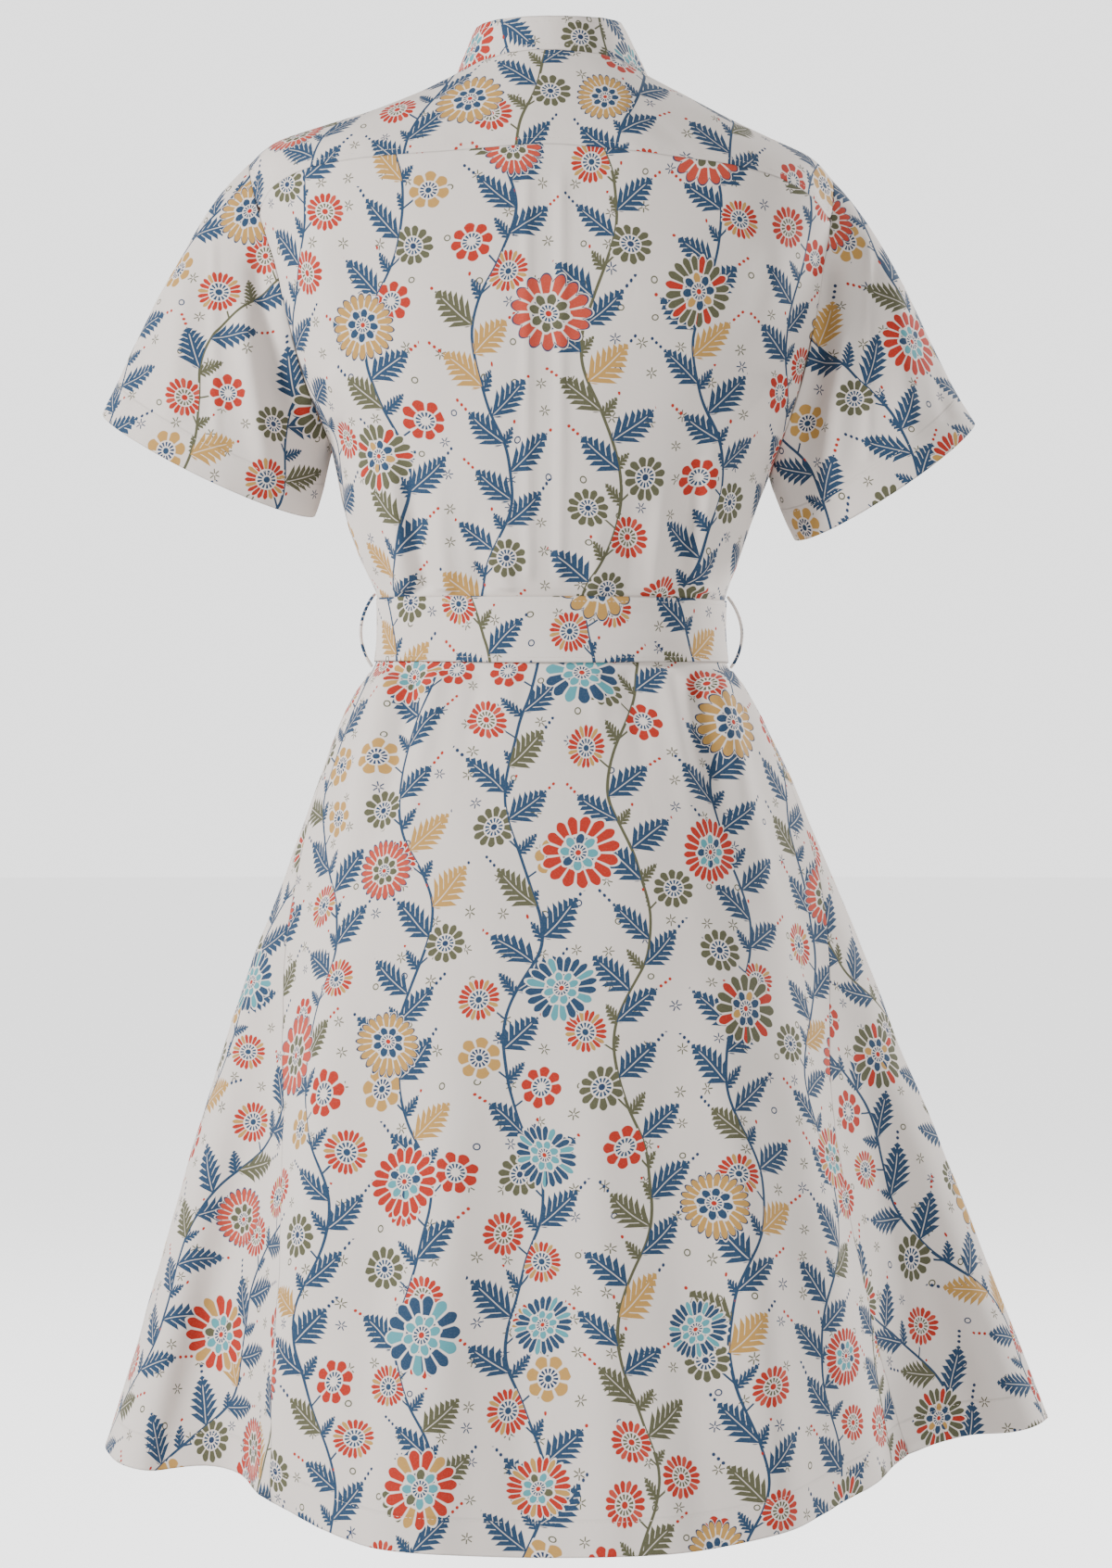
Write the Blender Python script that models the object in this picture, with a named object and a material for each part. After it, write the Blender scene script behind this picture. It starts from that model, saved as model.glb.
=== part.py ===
"""Short-sleeved shirt dress with a stand collar and a cloth belt, in metres with +Z up.

The dress hangs open and hollow as on a figure.  Its back faces -Y, its buttoned front faces +Y,
and +X is on the right when the back is seen.  The origin is in the middle of the neck opening,
level with the points where the shoulders meet the collar, which is where a wearer holds it up.

The body is one smooth surface through a stack of rings.  A place on it is written (q, w):
q counts quarter turns from the centre back, 1 at the right side, -1 at the left and 2 or -2 at
the centre front, and w counts rows down the RINGS table, with fractions between two rows.
"""

import math
from functools import lru_cache
from typing import NamedTuple

import bmesh
import bpy
from mathutils import Vector

CLOTH = 0.0013           # thickness of one cloth wall
SEAM_GAP = 0.0003        # clearance between two pieces at a seam
LAY_GAP = 0.0004         # clearance under a piece that lies on another
BACK, FRONT = 1, -1      # which half of the body a fold is on
LEFT, RIGHT = -1, 1      # which side of the body a piece is on


class Ring(NamedTuple):
    """Heights and reaches of one level section of the body, from its middle axis."""

    name: str
    z_back: float
    z_left: float
    z_right: float
    z_front: float
    back: float
    left: float
    right: float
    front: float
    square: float        # 2 is an ellipse, more is squarer


RINGS = (
    #    name          z_back   z_left   z_right  z_front  back    left    right   front   square
    Ring("neck",       0.0090, -0.0010, -0.0010, -0.0780, 0.0620, 0.0690, 0.0705, 0.0550, 2.00),
    Ring("inner",     -0.0200, -0.0215, -0.0215, -0.1050, 0.0800, 0.1150, 0.1080, 0.0750, 2.00),
    Ring("shoulder",  -0.0500, -0.0370, -0.0460, -0.1350, 0.0940, 0.1650, 0.1560, 0.0920, 2.05),
    Ring("tip",       -0.0850, -0.0600, -0.0710, -0.1650, 0.1040, 0.2145, 0.1990, 0.1060, 2.10),
    Ring("blade",     -0.1500, -0.1450, -0.1500, -0.2050, 0.1120, 0.1990, 0.1970, 0.1200, 2.25),
    Ring("chest",     -0.2150, -0.2120, -0.2200, -0.2400, 0.1120, 0.1820, 0.1820, 0.1270, 2.30),
    Ring("underarm",  -0.2700, -0.2650, -0.2850, -0.2750, 0.1060, 0.1560, 0.1545, 0.1250, 2.30),
    Ring("ribs",      -0.3120, -0.3100, -0.3180, -0.3120, 0.0990, 0.1475, 0.1425, 0.1160, 2.25),
    Ring("blouse",    -0.3480, -0.3470, -0.3490, -0.3480, 0.0920, 0.1340, 0.1315, 0.1050, 2.20),
    Ring("belt_top",  -0.3720, -0.3700, -0.3720, -0.3720, 0.0810, 0.1225, 0.1225, 0.0910, 2.10),
    Ring("waist",     -0.3955, -0.3955, -0.3955, -0.3955, 0.0785, 0.1215, 0.1215, 0.0880, 2.10),
    Ring("belt_low",  -0.4190, -0.4160, -0.4170, -0.4190, 0.0815, 0.1240, 0.1240, 0.0900, 2.10),
    Ring("hip",       -0.4550, -0.4500, -0.4500, -0.4550, 0.0990, 0.1460, 0.1480, 0.1010, 2.15),
    Ring("seat",      -0.5600, -0.5500, -0.5500, -0.5600, 0.1300, 0.1835, 0.1925, 0.1250, 2.20),
    Ring("thigh",     -0.7050, -0.6900, -0.6900, -0.7050, 0.1650, 0.2340, 0.2495, 0.1550, 2.20),
    Ring("knee",      -0.8550, -0.8300, -0.8200, -0.8500, 0.1980, 0.2750, 0.3015, 0.1850, 2.20),
    Ring("hem",       -1.0070, -0.9700, -0.9520, -0.9950, 0.2280, 0.3155, 0.3540, 0.2120, 2.20),
)
W_NECK = 0.0
W_TIP = 3.0
W_UNDERARM = 6.0
W_FRONT_UNDERARM = 6.3   # the centre front's place in the row that meets the underarm
W_BELT_TOP = 9.0
W_WAIST = 10.0
W_BELT_LOW = 11.0
W_HEM = 16.0


class Fold(NamedTuple):
    """One soft ridge or trough that runs down the cloth, pushed along Y.

    It starts at z_top, bends at z_mid and ends at z_low; x, width and rise follow it down.
    A positive rise stands out of the body and a negative one sinks in; lift is how much it
    shortens the cloth at its low end.
    """

    name: str
    half: int
    z_top: float
    z_mid: float
    z_low: float
    x_top: float
    x_mid: float
    x_low: float
    width_top: float
    width_low: float
    rise_top: float
    rise_mid: float
    rise_low: float
    lift: float = 0.0


FOLDS = (
    #    name                half   z_top   z_mid   z_low   x_top   x_mid   x_low   w_top  w_low
    #    rise_top, rise_mid, rise_low, lift
    Fold("flare_back_left", BACK, -0.430, -0.700, -1.000, -0.122, -0.200, -0.222, 0.016, 0.052,
         0.000, -0.040, -0.095, 0.017),
    Fold("flare_back_right", BACK, -0.430, -0.700, -0.990, 0.122, 0.212, 0.268, 0.016, 0.076,
         0.000, -0.044, -0.115, 0.015),
    Fold("drift_back_left", BACK, -0.560, -0.800, -1.000, -0.060, -0.085, -0.110, 0.030, 0.040,
         0.000, 0.004, 0.008),
    Fold("drift_back_right", BACK, -0.560, -0.800, -1.000, 0.050, 0.070, 0.085, 0.030, 0.040,
         0.000, 0.003, 0.006),
    Fold("flare_front_left", FRONT, -0.430, -0.700, -1.000, -0.120, -0.180, -0.215, 0.016, 0.060,
         0.000, -0.028, -0.066, 0.008),
    Fold("flare_front_right", FRONT, -0.430, -0.700, -0.990, 0.120, 0.185, 0.235, 0.016, 0.066,
         0.000, -0.030, -0.074, 0.008),
    Fold("drift_front_left", FRONT, -0.560, -0.800, -1.000, -0.055, -0.080, -0.100, 0.030, 0.036,
         0.000, 0.006, 0.012),
    Fold("drift_front_right", FRONT, -0.560, -0.800, -1.000, 0.055, 0.080, 0.105, 0.030, 0.036,
         0.000, 0.006, 0.010),
    Fold("tuck_left_edge", BACK, -0.075, -0.250, -0.366, -0.014, -0.014, -0.011, 0.005, 0.005,
         0.000, 0.002, 0.000),
    Fold("tuck_right_edge", BACK, -0.075, -0.250, -0.366, 0.008, 0.008, 0.007, 0.005, 0.005,
         0.000, 0.002, 0.000),
    Fold("blouse_left_outer", BACK, -0.215, -0.315, -0.368, -0.128, -0.118, -0.100, 0.010, 0.007,
         0.000, 0.006, 0.000),
    Fold("blouse_left_inner", BACK, -0.235, -0.320, -0.368, -0.098, -0.086, -0.074, 0.011, 0.008,
         0.000, -0.004, 0.000),
    Fold("blouse_right_outer", BACK, -0.215, -0.315, -0.368, 0.128, 0.118, 0.100, 0.010, 0.007,
         0.000, 0.006, 0.000),
    Fold("blouse_right_inner", BACK, -0.235, -0.320, -0.368, 0.098, 0.084, 0.072, 0.011, 0.008,
         0.000, -0.004, 0.000),
    Fold("blouse_front_left", FRONT, -0.235, -0.320, -0.368, -0.112, -0.098, -0.082, 0.011, 0.008,
         0.000, 0.006, 0.000),
    Fold("blouse_front_right", FRONT, -0.235, -0.320, -0.368, 0.112, 0.098, 0.082, 0.011, 0.008,
         0.000, 0.006, 0.000),
)
SIDE_FADE = 0.22         # share of the depth over which a fold dies out at the side

ARM_BACK = 0.22          # how far round the armhole reaches behind the side, in quarter turns
ARM_FRONT = 0.25         # and in front of it
YOKE_BACK_TURN = math.radians(48)    # where the back yoke seam meets the armhole
YOKE_FRONT_TURN = math.radians(34)   # and the front one
YOKE_BACK_W = 2.40       # the back yoke seam at the centre
YOKE_BEND = 1.2          # how late the seam bends down towards the armhole
YOKE_NECK_FRONT = 1.32   # the front yoke seam at the neck
YOKE_NECK_BACK = 0.72    # the neck place opposite the back corner of the yoke

BACK_COLUMNS = 24        # across the back
TIP_STEPS = 6            # over the shoulder, between the two yoke corners
ARM_STEPS = 8            # down each side of the armhole
SIDE_STEPS = 6           # down the side seam of the bodice
YOKE_ROWS = 6
NECK_STEPS = 6           # along each front neck edge
COLLAR_ROWS = 2
SLEEVE_ROWS = 8
SKIRT_ROWS = 20
SKIRT_BACK_COLUMNS = 30
SKIRT_FRONT_COLUMNS = 22


class SeamPlace(NamedTuple):
    """How far round from the centre back the skirt's side seams lie, in quarter turns."""

    name: str
    left: float
    right: float


SKIRT_SEAM = (           # one row for each ring of RINGS from the waist down
    #         name        left   right
    SeamPlace("waist",    1.000, 1.000),
    SeamPlace("belt_low", 0.980, 0.980),
    SeamPlace("hip",      0.930, 0.930),
    SeamPlace("seat",     0.790, 0.790),
    SeamPlace("thigh",    0.570, 0.540),
    SeamPlace("knee",     0.440, 0.475),
    SeamPlace("hem",      0.380, 0.475),
)

COLLAR_TOP = Ring("collar_top", 0.0340, 0.0340, 0.0370, -0.0470,
                  0.0540, 0.0545, 0.0520, 0.0480, 2.00)
COLLAR_END = 0.0015      # how far each collar end stops short of the centre front


class Sleeve(NamedTuple):
    """Where one sleeve's open lower edge lies, from the photo's outline."""

    name: str
    side: int
    x_outer: float       # the corner away from the body
    z_outer: float
    x_inner: float       # the corner next to the body
    z_inner: float


SLEEVES = (
    #      name            side   x_outer  z_outer  x_inner  z_inner
    Sleeve("sleeve_left", LEFT, -0.3200, -0.2380, -0.1680, -0.3110),
    Sleeve("sleeve_right", RIGHT, 0.3015, -0.2450, 0.1730, -0.3280),
)
CUFF_HALF_DEPTH = 0.050
CUFF_DROOP_BACK = 0.014  # how far the cuff hangs under its corners at the back
CUFF_DROOP_FRONT = 0.002
SLEEVE_SLOPE_TOP = math.radians(38)      # how steeply the sleeve leaves the shoulder
SLEEVE_SLOPE_UNDER = math.radians(74)    # and the underarm
SLEEVE_START_PULL = 0.70
SLEEVE_END_PULL = 0.90
SLEEVE_CLEARANCE = 0.00020               # wider than at a flat seam, for the sharp underarm


class SleeveFold(NamedTuple):
    """A ridge or trough along the sleeve, at a turn round it from the shoulder by the back."""

    name: str
    turn_top: float
    turn_low: float
    width: float
    rise: float
    along_start: float
    along_end: float


SLEEVE_FOLDS = (
    #          name             turn_top turn_low width  rise   start  end
    SleeveFold("under_back", 0.360, 0.400, 0.045, -0.004, 0.12, 0.90),
    SleeveFold("mid_back", 0.270, 0.290, 0.045, 0.004, 0.02, 0.95),
    SleeveFold("crease_back", 0.170, 0.150, 0.030, 0.002, 0.10, 1.10),
    SleeveFold("under_front", 0.640, 0.600, 0.045, -0.004, 0.12, 0.90),
    SleeveFold("mid_front", 0.740, 0.730, 0.045, 0.004, 0.02, 0.95),
)

BELT_CLOTH = 0.0018      # doubled cloth
BELT_GAP = 0.0006        # clearance between the belt and the cloth under it
BELT_LAP_COLUMNS = 4     # how far each end passes the centre front, in the skirt's columns
BELT_RISE = 0.0025       # how far the outer end stands off to lie over the inner one
BELT_RISE_TURNS = 0.50   # over which the belt climbs to that, in quarter turns

BAND_HALF_WIDTH = 0.0150
BAND_LIFT = 0.0018       # how far the belt is lifted where it crosses the button band

LOOP_RADIUS = 0.0013
LOOP_BOW = 0.0095        # how far a belt loop bows out from the side of the belt
LOOP_POINTS = 14

BUTTON_RADIUS = 0.0058
BUTTON_THICKNESS = 0.0024
BUTTON_EDGE = 0.0005
BUTTON_SIDES = 20
BUTTON_HEIGHTS = (-0.110, -0.190, -0.270, -0.345, -0.470, -0.560, -0.650, -0.740, -0.830)

STEP = 1e-4              # the small step, in q or w, that slopes are measured over


def smooth(share):
    """Ease a share of 0 to 1 at both its ends."""
    share = min(max(share, 0.0), 1.0)
    return share * share * (3.0 - 2.0 * share)


def mix(first, last, share):
    """The value a share of the way from first to last."""
    return first * (1 - share) + last * share


def curve_through(values, share):
    """A Catmull-Rom curve through the middle two of four values."""
    a, b, c, d = values
    return b + 0.5 * share * (c - a + share * (2 * a - 5 * b + 4 * c - d
                                               + share * (3 * (b - c) + d - a)))


@lru_cache(maxsize=None)
def ring_at(w):
    """The ring at w, on smooth curves through the rows of RINGS."""
    last = len(RINGS) - 1
    row = min(max(int(w), 0), last - 1)
    near = [RINGS[min(max(row + step, 0), last)] for step in (-1, 0, 1, 2)]
    sizes = zip(*(ring[1:] for ring in near))
    return Ring("between", *(curve_through(four, w - row) for four in sizes))


def ring_point(ring, q):
    """The point of a ring at q, before any fold, and how far it is to the back or front."""
    across, along = math.sin(q * math.pi / 2), math.cos(q * math.pi / 2)
    reach = (abs(across) ** ring.square + abs(along) ** ring.square) ** (-1 / ring.square)
    x = (ring.right if across > 0 else ring.left) * across * reach
    y = -(ring.back if along > 0 else ring.front) * along * reach
    z_side = ring.z_right if across > 0 else ring.z_left
    z_end = ring.z_back if along > 0 else ring.z_front
    return Vector((x, y, z_side * across ** 2 + z_end * along ** 2)), along


def fold_push(fold, x, z):
    """How far one fold pushes the cloth out, and lifts it, at x, z."""
    z = min(max(z, fold.z_low), fold.z_top)
    down = (fold.z_top - z) / (fold.z_top - fold.z_low)
    bend = (fold.z_top - fold.z_mid) / (fold.z_top - fold.z_low)
    middle = mix(fold.x_top, fold.x_low, down)
    off_line = fold.x_mid - mix(fold.x_top, fold.x_low, bend)
    middle += off_line * down * (1 - down) / (bend * (1 - bend))
    if down < bend:
        rise = mix(fold.rise_top, fold.rise_mid, smooth(down / bend))
    else:
        rise = mix(fold.rise_mid, fold.rise_low, (down - bend) / (1 - bend))
    width = mix(fold.width_top, fold.width_low, down)
    nearness = math.exp(-((x - middle) / width) ** 2)
    return rise * nearness, fold.lift * down ** 2 * nearness


def body_point(q, w):
    """The outside of the body at q, w, folds and all."""
    point, along = ring_point(ring_at(w), q)
    half = BACK if along > 0 else FRONT
    fade = smooth(abs(along) / SIDE_FADE)
    for rise, lift in [fold_push(fold, point.x, point.z) for fold in FOLDS if fold.half == half]:
        point.y -= half * rise * fade
        point.z += lift * fade
    return point


def body_normal(q, w):
    """The unit vector out of the body at q, w."""
    round_it = body_point(q + STEP, w) - body_point(q - STEP, w)
    down_it = body_point(q, min(w + STEP, W_HEM)) - body_point(q, max(w - STEP, 0.0))
    return down_it.cross(round_it).normalized()


def q_at_share(ring, share):
    """The quarter turns from the centre line at which a ring is share of its half width out."""
    outer = share ** ring.square
    return math.atan2(outer ** (1 / ring.square), (1 - outer) ** (1 / ring.square)) * 2 / math.pi


def steps(first, last, count):
    """count + 1 even values from first to last."""
    return [mix(first, last, index / count) for index in range(count + 1)]


def armhole(side, half, turn):
    """The armhole's place at a turn from the shoulder tip, down its back or front edge."""
    reach = ARM_BACK if half == BACK else -ARM_FRONT
    w = mix(W_TIP, W_UNDERARM, (1 - math.cos(turn)) / 2)
    return side * (1 - reach * math.sin(turn)), w


def patch(top, bottom, left, right):
    """A grid of places filled in between four edges, each a list of places.

    Each row runs straight from the left edge to the right one, plus what the top and bottom
    edges stray from such a row, which dies out fast away from them.
    """
    columns, rows = len(top) - 1, len(left) - 1
    grid = []
    for row in range(rows + 1):
        fade_top, fade_bottom = (1 - row / rows) ** 3, (row / rows) ** 3
        line = []
        for column in range(columns + 1):
            u = column / columns
            line.append(tuple(
                mix(left[row][i], right[row][i], u)
                + (top[column][i] - mix(left[0][i], right[0][i], u)) * fade_top
                + (bottom[column][i] - mix(left[-1][i], right[-1][i], u)) * fade_bottom
                for i in (0, 1)))
        grid.append(line)
    return grid


def pulled_in(edge, inside, clearance):
    """How far to move each point of an edge, square to it, to leave a clearance."""
    last = len(edge) - 1
    moves = []
    for index, point in enumerate(edge):
        run = (edge[min(index + 1, last)] - edge[max(index - 1, 0)]).normalized()
        inward = inside[index] - point
        inward -= run * inward.dot(run)
        moves.append(inward.normalized() * clearance)
    return moves


def clear_edges(grid, closed, clearance):
    """Pull the border of a grid of points in along the cloth; a closed one has no sides."""
    moved = [[point.copy() for point in line] for line in grid]
    for edge, inside in ((0, 1), (-1, -2)):
        for column, move in enumerate(pulled_in(grid[edge], grid[inside], clearance)):
            moved[edge][column] += move
        if not closed:
            side = pulled_in([line[edge] for line in grid], [line[inside] for line in grid],
                             clearance)
            for row, move in enumerate(side):
                moved[row][edge] += move
    return moved


def split_cell(normals):
    """Two triangles for a cell, parted along the corners that face most nearly the same way."""
    if normals[0].dot(normals[2]) >= normals[1].dot(normals[3]):
        return (0, 1, 2), (0, 2, 3)
    return (0, 1, 3), (1, 2, 3)


def cloth_wall(name, material, outside, outward, thickness=CLOTH, closed=False,
               clearance=SEAM_GAP / 2):
    """A cloth wall: the outer sheet is drawn, then extruded inward along its own normals.

    outside and outward are grids of points and of unit vectors; a closed grid is a tube.
    """
    outside = clear_edges(outside, closed, clearance)
    bm = bmesh.new()
    sheet = [[bm.verts.new(point) for point in line] for line in outside]
    columns = len(sheet[0])
    for row in range(len(sheet) - 1):
        for column in range(columns if closed else columns - 1):
            across = (column + 1) % columns
            cell = ((row, column), (row + 1, column), (row + 1, across), (row, across))
            for corners in split_cell([outward[i][j] for i, j in cell]):
                bm.faces.new([sheet[i][j] for i, j in (cell[corner] for corner in corners)])
    inward = {}
    for line, normals in zip(sheet, outward):
        for vertex, normal in zip(line, normals):
            inward[tuple(vertex.co)] = normal * -thickness
    grown = bmesh.ops.extrude_face_region(bm, geom=bm.faces[:], use_keep_orig=True)
    for item in grown["geom"]:
        if isinstance(item, bmesh.types.BMVert):
            item.co += inward[tuple(item.co)]
    bmesh.ops.recalc_face_normals(bm, faces=bm.faces[:])
    if bm.calc_volume(signed=True) < 0:
        bmesh.ops.reverse_faces(bm, faces=bm.faces[:])
    return mesh_object(name, bm, material)


def mesh_object(name, bm, material):
    """Turn a bmesh into an object of the scene, shaded smooth but for its sharp edges."""
    mesh = bpy.data.meshes.new(name)
    bm.to_mesh(mesh)
    bm.free()
    mesh.materials.append(material)
    mesh.shade_smooth()
    mesh.set_sharp_from_angle(angle=math.radians(50))
    part = bpy.data.objects.new(name, mesh)
    bpy.context.collection.objects.link(part)
    return part


def make_material(name, colour, roughness):
    """A plain surface of one colour."""
    material = bpy.data.materials.new(name)
    material.use_nodes = True
    surface = material.node_tree.nodes["Principled BSDF"]
    surface.inputs["Base Color"].default_value = (*colour, 1.0)
    surface.inputs["Roughness"].default_value = roughness
    surface.inputs["Metallic"].default_value = 0.0
    return material


def body_grid(places):
    """The points and normals of a grid of places on the body."""
    points = [[body_point(*place) for place in line] for line in places]
    normals = [[body_normal(*place) for place in line] for line in places]
    return points, normals


def arm_edge(side, half):
    """One edge of the armhole, from the shoulder tip past the yoke corner to the underarm."""
    corner = YOKE_BACK_TURN if half == BACK else YOKE_FRONT_TURN
    turns = steps(0.0, corner, TIP_STEPS // 2) + steps(corner, math.pi, ARM_STEPS)[1:-1]
    return [armhole(side, half, turn) for turn in turns] + [(float(side), W_UNDERARM)]


def armhole_loop(side):
    """The armhole's places, from the shoulder tip down the back and up the front."""
    return arm_edge(side, BACK) + arm_edge(side, FRONT)[-2:0:-1]


def sleeve_cuff(sleeve, turn):
    """The point of the cuff's edge at a turn of 0 to 1 from its outer corner by the back."""
    angle = turn * 2 * math.pi
    outer = Vector((sleeve.x_outer, 0.0, sleeve.z_outer))
    inner = Vector((sleeve.x_inner, 0.0, sleeve.z_inner))
    point = mix(inner, outer, (1 + math.cos(angle)) / 2)
    droop = CUFF_DROOP_BACK if math.sin(angle) > 0 else CUFF_DROOP_FRONT
    return point + Vector((0.0, -CUFF_HALF_DEPTH * math.sin(angle), -droop * abs(math.sin(angle))))


def sleeve_grid(sleeve):
    """The sleeve's outer points, in rings from the armhole to the cuff, and the turn of each."""
    loop = [body_point(*place) for place in armhole_loop(sleeve.side)]
    count = len(loop)
    runs = [(loop[(k + 1) % count] - loop[k]).length for k in range(count)]
    bottom = TIP_STEPS // 2 + ARM_STEPS
    back, front = sum(runs[:bottom]), sum(runs[bottom:])
    turns = [0.5 * sum(runs[:k]) / back if k <= bottom
             else 0.5 + 0.5 * sum(runs[bottom:k]) / front for k in range(count)]
    along_cuff = sleeve_cuff(sleeve, 0.0) - sleeve_cuff(sleeve, 0.5)
    end = Vector((-along_cuff.z, 0.0, along_cuff.x)).normalized()
    end *= -1 if end.z > 0 else 1
    rings = []
    for share in steps(0.0, 1.0, SLEEVE_ROWS):
        rise, fall = share * share * (3 - 2 * share), (1 - share) ** 2 * (1 + 2 * share)
        leave, arrive = share * (1 - share) ** 2, -share * share * (1 - share)
        ring = []
        for point, turn in zip(loop, turns):
            cuff = sleeve_cuff(sleeve, turn)
            length = (cuff - point).length
            slope = mix(SLEEVE_SLOPE_UNDER, SLEEVE_SLOPE_TOP, (1 + math.cos(turn * 2 * math.pi)) / 2)
            start = Vector((sleeve.side * math.cos(slope), 0.0, -math.sin(slope)))
            ring.append(point * fall + cuff * rise
                        + start * (leave * length * SLEEVE_START_PULL)
                        + end * (arrive * length * SLEEVE_END_PULL))
        rings.append(ring)
    return rings, turns


def grid_normals(rings, outward_sign):
    """Unit vectors out of a closed grid of rings, from its own points."""
    count = len(rings[0])
    normals = []
    for row in range(len(rings)):
        above, below = rings[max(row - 1, 0)], rings[min(row + 1, len(rings) - 1)]
        normals.append([
            (below[k] - above[k]).cross(rings[row][(k + 1) % count] - rings[row][k - 1])
            .normalized() * outward_sign for k in range(count)])
    return normals


def folded_sleeve(sleeve):
    """The sleeve's points and normals, with its folds pushed in and out."""
    rings, turns = sleeve_grid(sleeve)
    normals = grid_normals(rings, -sleeve.side)
    for row, ring in enumerate(rings):
        along = row / SLEEVE_ROWS
        for k, turn in enumerate(turns):
            rise = 0.0
            for fold in SLEEVE_FOLDS:
                inside = (along - fold.along_start) / (fold.along_end - fold.along_start)
                if 0.0 < inside < 1.0:
                    middle = mix(fold.turn_top, fold.turn_low, along)
                    rise += (fold.rise * math.sin(inside * math.pi)
                             * math.exp(-((turn - middle) / fold.width) ** 2))
            ring[k] = ring[k] + normals[row][k] * rise
    return rings, grid_normals(rings, -sleeve.side)


def yoke_edges():
    """The yoke's neck edge, its outer edge, its two front seams by side, and its back seam."""
    neck = (steps(-YOKE_NECK_FRONT, -YOKE_NECK_BACK, TIP_STEPS)
            + steps(-YOKE_NECK_BACK, YOKE_NECK_BACK, BACK_COLUMNS)[1:]
            + steps(YOKE_NECK_BACK, YOKE_NECK_FRONT, TIP_STEPS)[1:])
    tips = {}
    for side in (LEFT, RIGHT):
        half_tip = TIP_STEPS // 2
        tips[side] = arm_edge(side, FRONT)[half_tip:0:-1] + arm_edge(side, BACK)[:half_tip + 1]
    corner_q, corner_w = tips[RIGHT][-1]
    seam = [(q, mix(YOKE_BACK_W, corner_w, (abs(q) / corner_q) ** YOKE_BEND))
            for q in steps(-corner_q, corner_q, BACK_COLUMNS)]
    outer = tips[LEFT] + seam[1:-1] + tips[RIGHT][::-1]
    fronts = {side: [tuple(mix(near, far, share) for near, far in
                           zip((side * YOKE_NECK_FRONT, W_NECK), tips[side][0]))
                     for share in steps(0.0, 1.0, YOKE_ROWS)] for side in (LEFT, RIGHT)}
    return [(q, W_NECK) for q in neck], outer, fronts, seam


def side_edge(side, half):
    """A bodice side edge: the armhole from its yoke corner, then the side seam."""
    seam = steps(W_UNDERARM, W_BELT_TOP, SIDE_STEPS - 1)[1:] + [W_WAIST]
    return arm_edge(side, half)[TIP_STEPS // 2:] + [(float(side), w) for w in seam]


def bodice_rows():
    """The rings that the bodice's rows meet at the centre front."""
    return (steps(W_NECK, W_FRONT_UNDERARM, ARM_STEPS)
            + steps(W_FRONT_UNDERARM, W_BELT_TOP, SIDE_STEPS - 1)[1:] + [W_WAIST])


def skirt_rows():
    """The rings that the skirt's rows lie on."""
    return [W_WAIST] + steps(W_BELT_LOW, W_HEM, SKIRT_ROWS - 1)


def skirt_seam(side):
    """The skirt's side seam, from the waist to the hem."""
    turns = [row.left if side == LEFT else row.right for row in SKIRT_SEAM]
    last = len(turns) - 1
    places = []
    for w in skirt_rows():
        row = min(int(w - W_WAIST), last - 1)
        four = [turns[min(max(row + step, 0), last)] for step in (-1, 0, 1, 2)]
        places.append((side * curve_through(four, w - W_WAIST - row), w))
    return places


def mitred(grid, edges):
    """Swap the normals on part of a grid's border for those shared with a neighbour."""
    normals = [line[:] for line in grid]
    for (row, column), normal in edges.items():
        normals[row][column] = normal
    return normals


def half_way(first, second):
    """The unit vector half way between two, which both sides of a bent seam are cut along."""
    return (first + second).normalized()


def clear_scene():
    """Empty the scene of whatever the file opened with."""
    for old in list(bpy.data.objects):
        bpy.data.objects.remove(old, do_unlink=True)


def build_dress():
    """Make every piece of the dress."""
    print_cloth = make_material("printed_cotton", (0.68, 0.63, 0.58), 0.85)
    shell = make_material("shell_button", (0.85, 0.81, 0.72), 0.35)
    sleeves = {sleeve.side: (sleeve, *folded_sleeve(sleeve)) for sleeve in SLEEVES}
    arm_normals = shared_arm_normals(sleeves)
    build_yoke(print_cloth, arm_normals)
    build_bodice(print_cloth, arm_normals)
    build_collar(print_cloth)
    for side, (sleeve, rings, normals) in sleeves.items():
        loop = armhole_loop(side)
        edges = {(0, k): arm_normals[place] for k, place in enumerate(loop)}
        cloth_wall(sleeve.name, print_cloth, rings, mitred(normals, edges), closed=True,
                   clearance=SLEEVE_CLEARANCE)
    build_skirt(print_cloth)
    build_band(print_cloth)
    build_belt(print_cloth)
    for side, name in ((LEFT, "belt_loop_left"), (RIGHT, "belt_loop_right")):
        build_loop(name, side, print_cloth)
    for number, height in enumerate(BUTTON_HEIGHTS, start=1):
        build_button(f"button_{number}", height, shell)


def shared_arm_normals(sleeves):
    """At each armhole place, the direction that body and sleeve are both cut along."""
    shared = {}
    for side, (_, _, normals) in sleeves.items():
        for place, normal in zip(armhole_loop(side), normals[0]):
            shared[place] = half_way(body_normal(*place), normal)
    return shared


def collar_point(q, share):
    """The collar's outside at q, a share of the way up from the neck seam."""
    foot = body_point(q, W_NECK)
    top, _ = ring_point(COLLAR_TOP, q)
    return mix(foot, top, share)


def collar_normal(q, share):
    """The unit vector out of the collar."""
    round_it = collar_point(q + STEP, share) - collar_point(q - STEP, share)
    up_it = collar_point(q, 1.0) - collar_point(q, 0.0)
    return round_it.cross(up_it).normalized()


def front_neck(side):
    """The neck edge of one front, from the centre front to the yoke."""
    return [(side * q, W_NECK) for q in steps(2.0, YOKE_NECK_FRONT, NECK_STEPS)]


def neck_cut(q):
    """The direction that the body and the collar are both cut along where they meet."""
    return half_way(body_normal(q, W_NECK), collar_normal(q, 0.0))


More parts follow.
